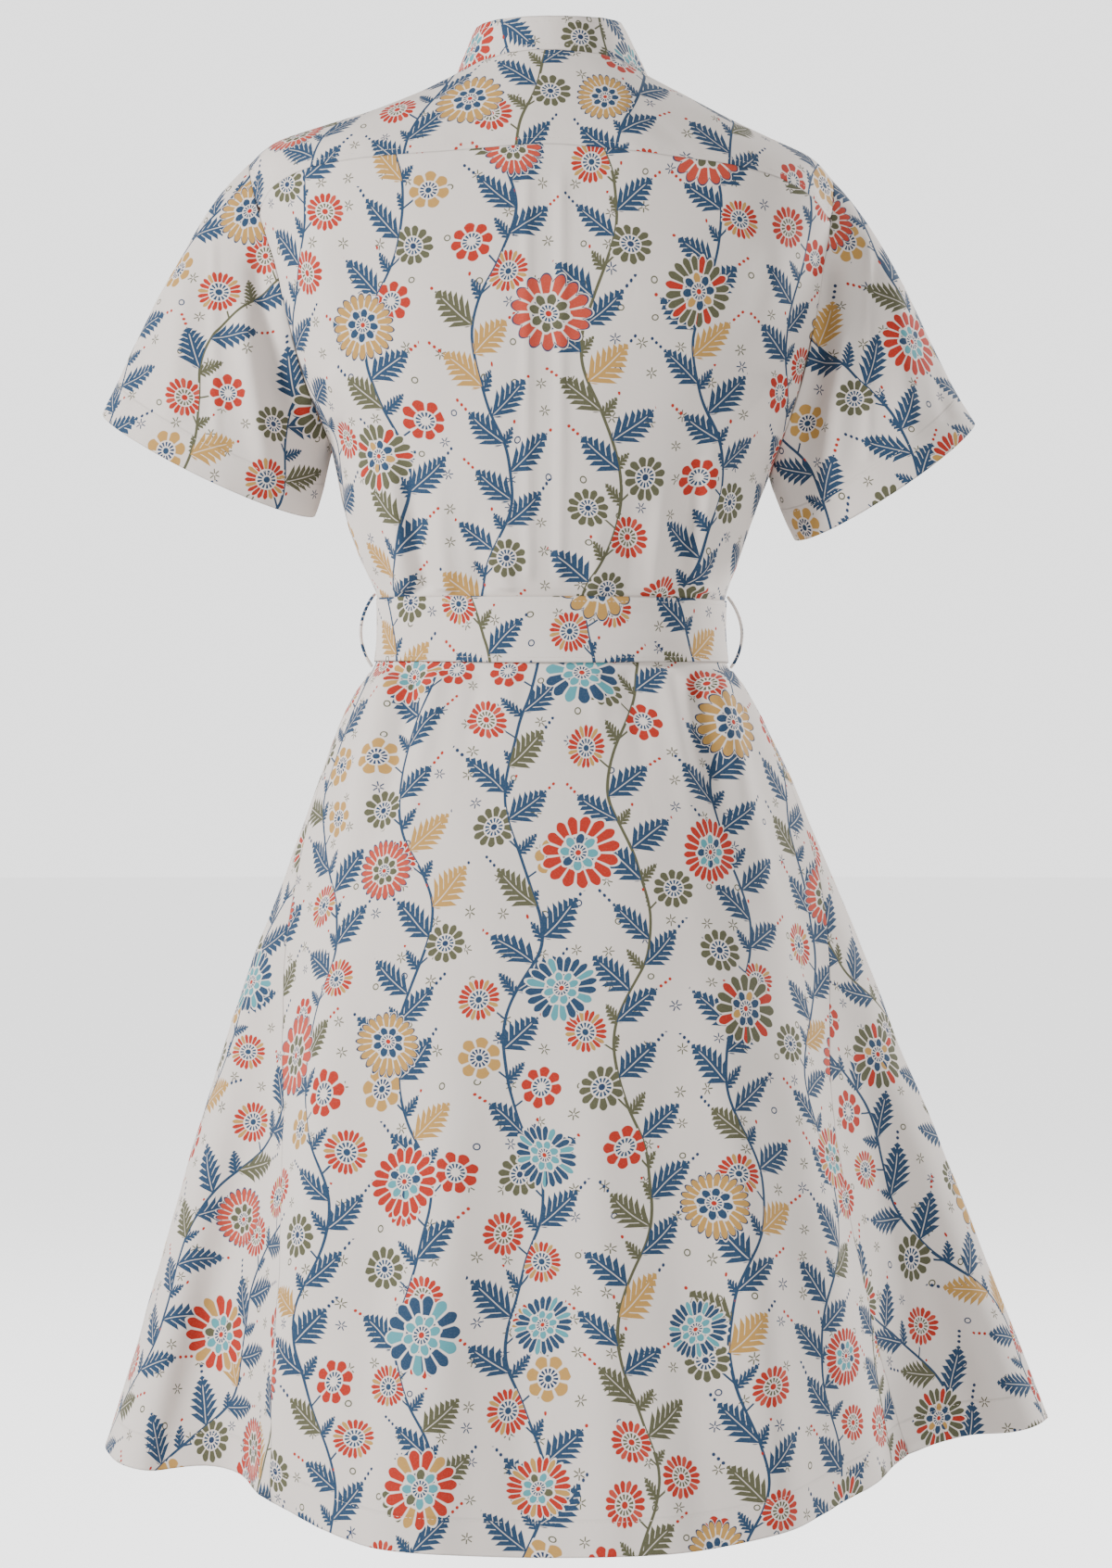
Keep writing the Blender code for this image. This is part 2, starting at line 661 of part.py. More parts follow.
def build_yoke(material, arm_normals):
    """The yoke: over both shoulders, between the collar and the back and front seams."""
    neck, outer, fronts, _ = yoke_edges()
    places = patch(neck, outer, fronts[LEFT], fronts[RIGHT])
    points, normals = body_grid(places)
    edges = {(0, k): neck_cut(q) for k, (q, _) in enumerate(neck)}
    edges.update({(YOKE_ROWS, k): arm_normals[place] for k, place in enumerate(outer)
                  if place in arm_normals})
    cloth_wall("yoke", material, points, mitred(normals, edges))


def build_bodice(material, arm_normals):
    """The bodice: one back and two fronts, from the yoke to the waist."""
    _, _, fronts, seam = yoke_edges()
    edge_left, edge_right = side_edge(LEFT, BACK), side_edge(RIGHT, BACK)
    waist = [(q, W_WAIST) for q in steps(-1.0, 1.0, BACK_COLUMNS)]
    points, normals = body_grid(patch(seam, waist, edge_left, edge_right))
    edges = {(row, column): arm_normals[place]
             for column, edge in ((0, edge_left), (BACK_COLUMNS, edge_right))
             for row, place in enumerate(edge) if place in arm_normals}
    cloth_wall("bodice_back", material, points, mitred(normals, edges))
    for side, name in ((LEFT, "bodice_front_left"), (RIGHT, "bodice_front_right")):
        neck = front_neck(side)
        top = neck + fronts[side][1:]
        edge = side_edge(side, FRONT)
        middle = [(side * 2.0, w) for w in bodice_rows()]
        waist = [(q, W_WAIST) for q in steps(side * 2.0, side * 1.0, len(top) - 1)]
        points, normals = body_grid(patch(top, waist, middle, edge))
        edges = {(0, k): neck_cut(q) for k, (q, _) in enumerate(neck)}
        edges.update({(row, len(top) - 1): arm_normals[place]
                      for row, place in enumerate(edge) if place in arm_normals})
        cloth_wall(name, material, points, mitred(normals, edges))


def build_collar(material):
    """The stand collar, open at the centre front."""
    neck, _, _, _ = yoke_edges()
    left, right = front_neck(LEFT)[:-1], front_neck(RIGHT)[:-1]
    turns = [q for q, _ in left] + [q for q, _ in neck] + [q for q, _ in right[::-1]]
    points, normals = [], []
    for share in steps(0.0, 1.0, COLLAR_ROWS):
        line = [collar_point(q, share) for q in turns]
        for end, inside in ((0, 1), (-1, -2)):
            line[end] += (line[inside] - line[end]).normalized() * COLLAR_END
        points.append(line)
        normals.append([collar_normal(q, share) for q in turns])
    edges = {(0, k): neck_cut(q) for k, q in enumerate(turns)}
    cloth_wall("collar", material, points, mitred(normals, edges))


def build_skirt(material):
    """The skirt: one back and two fronts that wrap round the sides to it."""
    left, right = skirt_seam(LEFT), skirt_seam(RIGHT)
    top = [(q, W_WAIST) for q in steps(left[0][0], right[0][0], SKIRT_BACK_COLUMNS)]
    hem = [(q, W_HEM) for q in steps(left[-1][0], right[-1][0], SKIRT_BACK_COLUMNS)]
    points, normals = body_grid(patch(top, hem, left, right))
    cloth_wall("skirt_back", material, points, normals)
    for side, name, seam in ((LEFT, "skirt_front_left", left), (RIGHT, "skirt_front_right", right)):
        top = [(q, W_WAIST) for q in steps(side * 2.0, seam[0][0], SKIRT_FRONT_COLUMNS)]
        hem = [(q, W_HEM) for q in steps(side * 2.0, seam[-1][0], SKIRT_FRONT_COLUMNS)]
        middle = [(side * 2.0, w) for w in skirt_rows()]
        points, normals = body_grid(patch(top, hem, middle, seam))
        cloth_wall(name, material, points, normals)


def band_places(w):
    """The button band's places across the centre front at ring w."""
    ring = ring_at(w)
    places = []
    for side, reach in ((RIGHT, ring.right), (LEFT, ring.left)):
        edge = 2.0 - q_at_share(ring, BAND_HALF_WIDTH / reach)
        places.append((side * edge, w))
    right, left = places
    return [(left[0], w), (-2.0, w), (right[0], w)]


def lifted(place, lift):
    """A place on the body moved out along its normal, with that normal."""
    normal = body_normal(*place)
    return body_point(*place) + normal * lift, normal


def build_band(material):
    """The button band, laid over the centre front from the neck to the hem."""
    rows = bodice_rows() + skirt_rows()[1:]
    grid = [[lifted(place, LAY_GAP + CLOTH) for place in band_places(w)] for w in rows]
    points = [[point for point, _ in line] for line in grid]
    normals = [[normal for _, normal in line] for line in grid]
    cloth_wall("button_band", material, points, normals)


def build_belt(material):
    """The belt, wound once round the waist with its outer end lapped over at the front."""
    column = 1.0 / SKIRT_FRONT_COLUMNS
    lap = BELT_LAP_COLUMNS * column
    front = steps(1.0, 2.0 + lap, SKIRT_FRONT_COLUMNS + BELT_LAP_COLUMNS)[1:]
    turns = [-q for q in front[::-1]] + steps(-1.0, 1.0, SKIRT_BACK_COLUMNS) + front
    points, normals = [], []
    for w in (W_BELT_TOP, W_WAIST, W_BELT_LOW):
        line = []
        for q in turns:
            x = body_point(q, w).x
            near_band = abs(q) > 1.5
            lift = BAND_LIFT * smooth(2.0 - abs(x) / BAND_HALF_WIDTH) if near_band else 0.0
            climb = BELT_RISE * smooth((q - (2.0 - lap - BELT_RISE_TURNS)) / BELT_RISE_TURNS)
            line.append(lifted((q, w), BELT_GAP + BELT_CLOTH + lift + climb))
        points.append([point for point, _ in line])
        normals.append([normal for _, normal in line])
    cloth_wall("belt", material, points, normals, thickness=BELT_CLOTH)


def build_loop(name, side, material):
    """A thin belt loop that bows out round the belt at one side seam."""
    top, low = body_point(side, W_BELT_TOP - 0.15), body_point(side, W_BELT_LOW + 0.12)
    seat = LOOP_RADIUS + LAY_GAP
    curve = bpy.data.curves.new(name, "CURVE")
    curve.dimensions = "3D"
    curve.bevel_depth = LOOP_RADIUS
    curve.bevel_resolution = 1
    curve.use_fill_caps = True
    line = curve.splines.new("POLY")
    line.points.add(LOOP_POINTS - 1)
    for index, share in enumerate(steps(0.0, 1.0, LOOP_POINTS - 1)):
        bow = math.sin(share * math.pi) ** 0.8
        point = mix(top, low, share) + Vector((side * (seat + LOOP_BOW * bow), 0.0, 0.0))
        line.points[index].co = (*point, 1.0)
    curve.materials.append(material)
    loop = bpy.data.objects.new(name, curve)
    bpy.context.collection.objects.link(loop)


def ring_at_height(z):
    """The w at which the centre front is at height z."""
    low, high = W_NECK, W_HEM
    for _ in range(40):
        middle = (low + high) / 2
        if body_point(2.0, middle).z > z:
            low = middle
        else:
            high = middle
    return low


def build_button(name, height, material):
    """A flat round button on the button band, facing forward."""
    place = (2.0, ring_at_height(height))
    seat, normal = lifted(place, 2 * LAY_GAP + CLOTH + BUTTON_THICKNESS / 2)
    bm = bmesh.new()
    bmesh.ops.create_cone(bm, cap_ends=True, segments=BUTTON_SIDES, radius1=BUTTON_RADIUS,
                          radius2=BUTTON_RADIUS, depth=BUTTON_THICKNESS)
    rims = [edge for edge in bm.edges if abs(edge.verts[0].co.z - edge.verts[1].co.z) < BUTTON_EDGE]
    bmesh.ops.bevel(bm, geom=rims, offset=BUTTON_EDGE, segments=1, affect="EDGES")
    button = mesh_object(name, bm, material)
    button.location = seat
    button.rotation_euler = normal.to_track_quat("Z", "Y").to_euler()


clear_scene()
build_dress()
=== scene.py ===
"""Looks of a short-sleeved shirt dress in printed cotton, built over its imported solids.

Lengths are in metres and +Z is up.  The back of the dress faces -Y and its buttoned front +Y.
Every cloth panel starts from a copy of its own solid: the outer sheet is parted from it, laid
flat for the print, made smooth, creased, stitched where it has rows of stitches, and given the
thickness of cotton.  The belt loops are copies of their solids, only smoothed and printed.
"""

import logging
import math
from collections.abc import Iterator, Sequence
from contextlib import contextmanager
from dataclasses import dataclass
from enum import Enum
from typing import NamedTuple

import bmesh
import bpy
import numpy as np
from mathutils import Matrix, Vector, noise
from mathutils.bvhtree import BVHTree
from mathutils.kdtree import KDTree


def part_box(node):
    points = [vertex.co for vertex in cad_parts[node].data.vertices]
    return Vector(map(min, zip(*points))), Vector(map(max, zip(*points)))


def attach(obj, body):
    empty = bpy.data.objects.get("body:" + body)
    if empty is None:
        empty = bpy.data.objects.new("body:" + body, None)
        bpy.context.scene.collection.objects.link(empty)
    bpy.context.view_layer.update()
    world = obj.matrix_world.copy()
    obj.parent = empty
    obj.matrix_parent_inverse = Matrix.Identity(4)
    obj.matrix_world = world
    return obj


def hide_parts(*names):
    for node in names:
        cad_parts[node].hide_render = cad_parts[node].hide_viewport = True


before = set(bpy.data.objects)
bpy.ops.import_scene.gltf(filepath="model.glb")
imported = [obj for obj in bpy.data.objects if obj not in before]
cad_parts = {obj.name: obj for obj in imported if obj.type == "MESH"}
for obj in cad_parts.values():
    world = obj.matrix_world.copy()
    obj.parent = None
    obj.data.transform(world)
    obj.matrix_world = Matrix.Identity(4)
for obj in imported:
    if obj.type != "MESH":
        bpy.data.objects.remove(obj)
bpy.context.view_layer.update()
LOG = logging.getLogger("shirt_dress")

BODY = "root"
COTTON_SLOT = "printed_cotton"
SHELL_SLOT = "shell_button"
PRINT_MAP = "print"          # the UV map that the print and the weave follow, in metres
HEM_DEPTH = "hem_depth"      # the attribute that holds the distance from a hemmed edge
EDGE_DEPTH = "edge_depth"    # and the one that holds the distance from any edge
MILLIMETRE = 0.001
MERGE_DISTANCE = 0.00002     # corners of a solid that are closer than this are one

Colour = tuple[float, float, float]

GROUND: Colour = (0.700, 0.632, 0.582)
BLUE: Colour = (0.013, 0.045, 0.100)
DEEP_BLUE: Colour = (0.012, 0.034, 0.088)
VERMILION: Colour = (0.390, 0.019, 0.007)
CORAL: Colour = (0.450, 0.050, 0.028)
OLIVE: Colour = (0.084, 0.084, 0.043)
MUSTARD: Colour = (0.440, 0.245, 0.062)
TURQUOISE: Colour = (0.075, 0.285, 0.325)
THREAD: Colour = (0.640, 0.600, 0.540)
SHELL: Colour = (0.400, 0.315, 0.220)


# --------------------------------------------------------------------------- creases


class Zone(Enum):
    """A part of the dress that has its own creases."""

    YOKE = "yoke"
    BODICE = "bodice"
    SLEEVE = "sleeve"
    SKIRT = "skirt"
    BELT = "belt"
    PLAIN = "plain"


class Half(Enum):
    """The side of the dress that a crease shows on, as the sign of its Y."""

    BACK = -1
    FRONT = 1


class Crease(NamedTuple):
    """A soft ridge, or a trough where rise is negative, along a line seen from the back."""

    x_start: float
    z_start: float
    x_end: float
    z_end: float
    width: float
    rise: float
    bow: float           # how far the line bends sideways at its middle
    ease_start: float    # the share of the line over which it grows from nothing
    ease_end: float      # and dies away


CREASES: dict[tuple[Zone, Half], tuple[tuple[float, ...], ...]] = {
    # x_start z_start   x_end  z_end   width    rise     bow  start   end
    (Zone.BODICE, Half.BACK): (
        # The two long tucks down the middle of the back.
        (-0.0165, -0.070, -0.0150, -0.368, 0.0040, 0.0017, 0.0010, 0.10, 0.05),
        (0.0065, -0.070, 0.0055, -0.368, 0.0040, 0.0017, -0.0008, 0.10, 0.05),
        # Fullness drawn in by the belt, behind.
        (-0.122, -0.236, -0.101, -0.370, 0.0080, 0.0052, -0.003, 0.60, 0.04),
        (-0.101, -0.268, -0.088, -0.370, 0.0060, -0.0042, 0.002, 0.55, 0.04),
        (-0.080, -0.280, -0.072, -0.370, 0.0065, 0.0034, 0.000, 0.60, 0.04),
        (-0.052, -0.302, -0.048, -0.370, 0.0060, -0.0021, 0.001, 0.60, 0.04),
        (-0.034, -0.316, -0.031, -0.370, 0.0060, 0.0016, 0.000, 0.60, 0.04),
        (0.033, -0.310, 0.030, -0.370, 0.0060, 0.0016, 0.000, 0.60, 0.04),
        (0.056, -0.296, 0.050, -0.370, 0.0065, -0.0023, -0.001, 0.60, 0.04),
        (0.079, -0.274, 0.070, -0.370, 0.0065, 0.0036, 0.000, 0.60, 0.04),
        (0.100, -0.262, 0.087, -0.370, 0.0060, -0.0044, -0.002, 0.55, 0.04),
        (0.120, -0.240, 0.101, -0.370, 0.0080, 0.0055, 0.003, 0.60, 0.04),
        # Drag lines from the underarms and over the shoulder blades.
        (-0.156, -0.212, -0.094, -0.268, 0.0090, 0.0034, 0.004, 0.15, 0.70),
        (-0.154, -0.246, -0.112, -0.300, 0.0075, -0.0029, 0.003, 0.15, 0.70),
        (0.156, -0.220, 0.096, -0.272, 0.0090, 0.0036, -0.004, 0.15, 0.70),
        (0.152, -0.252, 0.108, -0.300, 0.0075, -0.0029, -0.003, 0.15, 0.70),
        (-0.166, -0.110, -0.128, -0.215, 0.0140, 0.0034, 0.005, 0.30, 0.60),
        (0.160, -0.115, 0.124, -0.222, 0.0140, 0.0034, -0.005, 0.30, 0.60),
    ),
    (Zone.BODICE, Half.FRONT): (
        # The same forces on the front.
        (-0.118, -0.250, -0.099, -0.370, 0.0080, 0.0049, -0.003, 0.60, 0.04),
        (-0.096, -0.272, -0.084, -0.370, 0.0065, -0.0036, 0.002, 0.55, 0.04),
        (-0.072, -0.290, -0.064, -0.370, 0.0065, 0.0031, 0.000, 0.60, 0.04),
        (-0.046, -0.305, -0.042, -0.370, 0.0060, 0.0018, 0.000, 0.60, 0.04),
        (0.042, -0.300, 0.038, -0.370, 0.0060, 0.0018, 0.000, 0.60, 0.04),
        (0.070, -0.286, 0.062, -0.370, 0.0065, 0.0031, 0.000, 0.60, 0.04),
        (0.095, -0.268, 0.083, -0.370, 0.0065, -0.0036, -0.002, 0.55, 0.04),
        (0.117, -0.246, 0.099, -0.370, 0.0080, 0.0049, 0.003, 0.60, 0.04),
        (-0.158, -0.205, -0.080, -0.236, 0.0100, 0.0039, 0.005, 0.15, 0.75),
        (-0.152, -0.240, -0.100, -0.280, 0.0080, -0.0029, 0.003, 0.15, 0.70),
        (0.158, -0.212, 0.082, -0.240, 0.0100, 0.0039, -0.005, 0.15, 0.75),
        (0.150, -0.246, 0.100, -0.286, 0.0080, -0.0029, -0.003, 0.15, 0.70),
        (-0.168, -0.120, -0.132, -0.200, 0.0140, 0.0029, 0.005, 0.30, 0.60),
        (0.162, -0.124, 0.128, -0.204, 0.0140, 0.0029, -0.005, 0.30, 0.60),
    ),
    (Zone.YOKE, Half.BACK): (
        # The yoke over the shoulders.
        (-0.080, -0.022, -0.170, -0.066, 0.0080, 0.0021, 0.003, 0.25, 0.50),
        (0.078, -0.024, 0.160, -0.070, 0.0080, 0.0021, -0.003, 0.25, 0.50),
        (-0.058, -0.030, -0.110, -0.066, 0.0070, -0.0015, 0.002, 0.20, 0.60),
        (0.050, -0.030, 0.098, -0.068, 0.0070, -0.0015, -0.002, 0.20, 0.60),
    ),
    (Zone.SLEEVE, Half.BACK): (
        # The sleeves: a pressed line down the outside, and folds that hang from the armhole.
        (-0.2390, -0.105, -0.2340, -0.272, 0.0028, 0.0019, 0.000, 0.15, 0.05),
        (-0.2100, -0.118, -0.1760, -0.262, 0.0085, -0.0072, 0.004, 0.20, 0.35),
        (-0.2180, -0.150, -0.1960, -0.296, 0.0080, 0.0051, 0.003, 0.30, 0.20),
        (-0.2600, -0.120, -0.2700, -0.262, 0.0110, 0.0039, -0.003, 0.30, 0.25),
        (-0.2850, -0.165, -0.2980, -0.245, 0.0070, -0.0024, 0.000, 0.35, 0.25),
        (0.2240, -0.105, 0.2210, -0.280, 0.0028, 0.0019, 0.000, 0.15, 0.05),
        (0.1960, -0.120, 0.1740, -0.276, 0.0085, -0.0075, -0.004, 0.20, 0.35),
        (0.2060, -0.152, 0.1940, -0.306, 0.0080, 0.0054, -0.003, 0.30, 0.20),
        (0.2440, -0.125, 0.2540, -0.272, 0.0110, 0.0039, 0.003, 0.30, 0.25),
        (0.2680, -0.170, 0.2820, -0.256, 0.0070, -0.0024, 0.000, 0.35, 0.25),
    ),
    (Zone.SLEEVE, Half.FRONT): (
        (-0.2100, -0.125, -0.1800, -0.262, 0.0085, -0.0063, 0.004, 0.20, 0.35),
        (-0.2240, -0.150, -0.2040, -0.290, 0.0085, 0.0048, 0.003, 0.30, 0.20),
        (-0.2550, -0.130, -0.2620, -0.262, 0.0110, 0.0033, -0.003, 0.30, 0.25),
        (0.1980, -0.126, 0.1780, -0.276, 0.0085, -0.0063, -0.004, 0.20, 0.35),
        (0.2120, -0.155, 0.2000, -0.300, 0.0085, 0.0048, -0.003, 0.30, 0.20),
        (0.2420, -0.130, 0.2500, -0.268, 0.0110, 0.0033, 0.003, 0.30, 0.25),
    ),
    (Zone.SKIRT, Half.BACK): (
        # The skirt just below the belt, behind.
        (-0.112, -0.421, -0.166, -0.640, 0.0090, 0.0055, -0.004, 0.05, 0.75),
        (-0.096, -0.421, -0.132, -0.580, 0.0070, -0.0042, -0.002, 0.05, 0.75),
        (-0.078, -0.421, -0.104, -0.560, 0.0070, 0.0035, 0.000, 0.05, 0.75),
        (-0.050, -0.421, -0.064, -0.520, 0.0065, -0.0020, 0.000, 0.05, 0.80),
        (-0.028, -0.421, -0.034, -0.500, 0.0060, 0.0015, 0.000, 0.05, 0.80),
        (0.030, -0.421, 0.036, -0.505, 0.0060, 0.0015, 0.000, 0.05, 0.80),
        (0.054, -0.421, 0.068, -0.525, 0.0065, -0.0022, 0.000, 0.05, 0.80),
        (0.078, -0.421, 0.104, -0.560, 0.0070, 0.0035, 0.000, 0.05, 0.75),
        (0.096, -0.421, 0.134, -0.590, 0.0070, -0.0045, 0.002, 0.05, 0.75),
        (0.113, -0.421, 0.172, -0.650, 0.0090, 0.0057, 0.004, 0.05, 0.75),
        # Its long soft waves, behind.
        (-0.140, -0.560, -0.196, -1.020, 0.0160, 0.0088, -0.006, 0.60, 0.02),
        (-0.098, -0.600, -0.140, -1.030, 0.0180, -0.0050, -0.004, 0.60, 0.02),
        (-0.052, -0.560, -0.078, -1.030, 0.0200, 0.0056, 0.004, 0.60, 0.02),
        (-0.012, -0.620, -0.018, -1.030, 0.0180, -0.0032, 0.003, 0.60, 0.02),
        (0.026, -0.580, 0.036, -1.030, 0.0190, 0.0042, -0.003, 0.60, 0.02),
        (0.070, -0.600, 0.106, -1.030, 0.0200, -0.0045, 0.004, 0.60, 0.02),
        (0.110, -0.570, 0.160, -1.030, 0.0180, 0.0063, 0.004, 0.60, 0.02),
        (0.148, -0.570, 0.222, -1.010, 0.0160, 0.0075, 0.006, 0.60, 0.02),
        (-0.176, -0.600, -0.272, -0.990, 0.0150, -0.0075, -0.004, 0.60, 0.02),
        (0.196, -0.620, 0.306, -0.980, 0.0150, -0.0075, 0.004, 0.60, 0.02),
    ),
    (Zone.SKIRT, Half.FRONT): (
        # The front of the skirt.
        (-0.110, -0.421, -0.162, -0.630, 0.0090, 0.0050, -0.004, 0.05, 0.75),
        (-0.088, -0.421, -0.122, -0.570, 0.0070, -0.0037, -0.002, 0.05, 0.75),
        (-0.064, -0.421, -0.086, -0.540, 0.0070, 0.0028, 0.000, 0.05, 0.75),
        (0.062, -0.421, 0.084, -0.540, 0.0070, 0.0028, 0.000, 0.05, 0.75),
        (0.088, -0.421, 0.124, -0.575, 0.0070, -0.0037, 0.002, 0.05, 0.75),
        (0.111, -0.421, 0.166, -0.640, 0.0090, 0.0052, 0.004, 0.05, 0.75),
        (-0.150, -0.580, -0.200, -1.010, 0.0180, 0.0075, -0.006, 0.60, 0.02),
        (-0.100, -0.600, -0.140, -1.020, 0.0200, -0.0050, -0.004, 0.60, 0.02),
        (-0.055, -0.580, -0.075, -1.020, 0.0180, 0.0045, 0.003, 0.60, 0.02),
        (0.056, -0.590, 0.078, -1.020, 0.0180, 0.0045, -0.003, 0.60, 0.02),
        (0.102, -0.600, 0.146, -1.020, 0.0200, -0.0050, 0.004, 0.60, 0.02),
        (0.152, -0.580, 0.212, -1.000, 0.0180, 0.0075, 0.006, 0.60, 0.02),
    ),
    (Zone.BELT, Half.BACK): (
        # Tension wrinkles along the belt.
        (-0.104, -0.384, -0.026, -0.388, 0.0026, -0.0010, 0.001, 0.40, 0.50),
        (-0.088, -0.402, -0.010, -0.399, 0.0030, 0.0009, 0.001, 0.40, 0.50),
        (0.018, -0.386, 0.102, -0.383, 0.0026, -0.0010, -0.001, 0.50, 0.40),
        (0.030, -0.399, 0.108, -0.403, 0.0030, 0.0009, -0.001, 0.50, 0.40),
    ),
    (Zone.BELT, Half.FRONT): (
        (-0.110, -0.392, -0.040, -0.394, 0.0030, -0.0009, 0.001, 0.40, 0.50),
        (0.044, -0.388, 0.110, -0.392, 0.0030, -0.0009, 0.001, 0.50, 0.40),
    ),
}
HALF_FADE = 0.030        # over this depth from the side a crease of one half dies away
BELT_EDGES = (-0.4230, -0.3680)    # the heights between which the belt keeps cloth from pushing out


def eased(share: np.ndarray) -> np.ndarray:
    """Ease shares of 0 to 1 at both their ends."""
    held = np.clip(share, 0.0, 1.0)
    return held * held * (3.0 - 2.0 * held)


def crease_push(points: np.ndarray, zones: Sequence[Zone]) -> np.ndarray:
    """How far the creases of some zones push each point out along its normal.

    Args:
        points: Points as rows of X, Y and Z.
        zones: The zones whose creases count.

    Returns:
        One distance for each point.
    """
    push = np.zeros(len(points))
    chosen = [(half, Crease(*row)) for (zone, half), rows in CREASES.items() if zone in zones for row in rows]
    for half, crease in chosen:
        start = np.array((crease.x_start, crease.z_start))
        run = np.array((crease.x_end, crease.z_end)) - start
        length = np.linalg.norm(run)
        from_start = points[:, (0, 2)] - start
        along = from_start @ run / length ** 2
        across = from_start @ np.array((run[1], -run[0])) / length
        across = across - crease.bow * 4.0 * along * (1.0 - along)
        ends = eased(along / crease.ease_start) * eased((1.0 - along) / crease.ease_end)
        side = eased(half.value * points[:, 1] / HALF_FADE)
        push += crease.rise * np.exp(-(across / crease.width) ** 2) * ends * side
    return push


# --------------------------------------------------------------------------- shader graphs


class Wire:
    """A number that runs through a shader graph; arithmetic on it adds Math nodes."""

    def __init__(self, tree: bpy.types.NodeTree, socket: bpy.types.NodeSocket) -> None:
        """Take one output socket of a graph."""
        self.tree = tree
        self.socket = socket

    def math(self, operation: str, *others: "Wire | float", clamp: bool = False) -> "Wire":
        """Put this number through a Math node.

        Args:
            operation: The node's operation.
            others: Its further inputs.
            clamp: Whether the result is held between 0 and 1.

        Returns:
            The result.
        """
        node = self.tree.nodes.new("ShaderNodeMath")
        node.operation = operation
        node.use_clamp = clamp
        for socket, value in zip(node.inputs, (self, *others)):
            if isinstance(value, Wire):
                self.tree.links.new(value.socket, socket)
            else:
                socket.default_value = value
        return Wire(self.tree, node.outputs[0])

    def __add__(self, other: "Wire | float") -> "Wire":
        """The sum."""
        return self.math("ADD", other)

    def __sub__(self, other: "Wire | float") -> "Wire":
        """The difference."""
        return self.math("SUBTRACT", other)

    def __mul__(self, other: "Wire | float") -> "Wire":
        """The product."""
        return self.math("MULTIPLY", other)

    def __truediv__(self, other: "Wire | float") -> "Wire":
        """The quotient."""
        return self.math("DIVIDE", other)

    def inverted(self) -> "Wire":
        """One less this number."""
        return self.math("MULTIPLY_ADD", -1.0, 1.0)

    def size(self) -> "Wire":
        """This number without its sign."""
        return self.math("ABSOLUTE")

    def wave(self) -> "Wire":
        """Its sine."""
        return self.math("SINE")

    def whole(self) -> "Wire":
        """The whole number below it."""
        return self.math("FLOOR")

    def part(self) -> "Wire":
        """What is left of it above a whole number."""
        return self.math("FRACT")

    def below(self, limit: float) -> "Wire":
        """1 where it is under a limit, or else 0."""
        return self.math("LESS_THAN", limit)

    def inside(self, soft: float = 0.35) -> "Wire":
        """1 where it is under zero, with an edge that is soft over that much."""
        return self.math("MULTIPLY_ADD", -1.0 / soft, 0.5, clamp=True)


class Graph:
    """A shader node tree, with short ways to add its nodes."""

    def __init__(self, tree: bpy.types.NodeTree) -> None:
        """Take the tree that nodes are added to."""
        self.tree = tree

    def node(self, kind: str, inputs: dict | None = None, **settings: object) -> bpy.types.Node:
        """Add a node.

        Args:
            kind: The node's type, without its ShaderNode prefix.
            inputs: Values or wires for its inputs, by name or place.
            settings: Values for its own properties.

        Returns:
            The node.
        """
        made = self.tree.nodes.new(f"ShaderNode{kind}")
        for name, value in settings.items():
            setattr(made, name, value)
        for name, value in (inputs or {}).items():
            if isinstance(value, Wire):
                self.tree.links.new(value.socket, made.inputs[name])
            elif isinstance(value, tuple) and len(value) == 3 and made.inputs[name].type == "RGBA":
                made.inputs[name].default_value = (*value, 1.0)
            else:
                made.inputs[name].default_value = value
        return made

    def wire(self, kind: str, output: str | int, inputs: dict | None = None, **settings: object) -> Wire:
        """Add a node and take one of its outputs."""
        return Wire(self.tree, self.node(kind, inputs, **settings).outputs[output])

    def axes(self, vector: Wire) -> tuple[Wire, Wire]:
        """The first two parts of a vector."""
        split = self.node("SeparateXYZ", {0: vector})
        return Wire(self.tree, split.outputs[0]), Wire(self.tree, split.outputs[1])

    def vector(self, x: Wire | float, y: Wire | float, z: Wire | float = 0.0) -> Wire:
        """A vector of three numbers."""
        return self.wire("CombineXYZ", 0, {0: x, 1: y, 2: z})

    def mix(self, mask: Wire | float, under: "Wire | Colour", over: "Wire | Colour") -> Wire:
        """Lay one colour over another through a mask."""
        return self.wire("Mix", 2, {0: mask, 6: under, 7: over}, data_type="RGBA")

    def choose(self, value: Wire, colours: Sequence[Colour]) -> Wire:
        """One of several colours, in even shares of a number from 0 to 1.

        Args:
            value: The number.
            colours: The colours.

        Returns:
            The colour.
        """
        ramp = self.node("ValToRGB", {0: value})
        ramp.color_ramp.interpolation = "CONSTANT"
        elements = ramp.color_ramp.elements
        while len(elements) < len(colours):
            elements.new(0.5)
        for index, colour in enumerate(colours):
            elements[index].position = index / len(colours)
            elements[index].color = (*colour, 1.0)
        return Wire(self.tree, ramp.outputs[0])


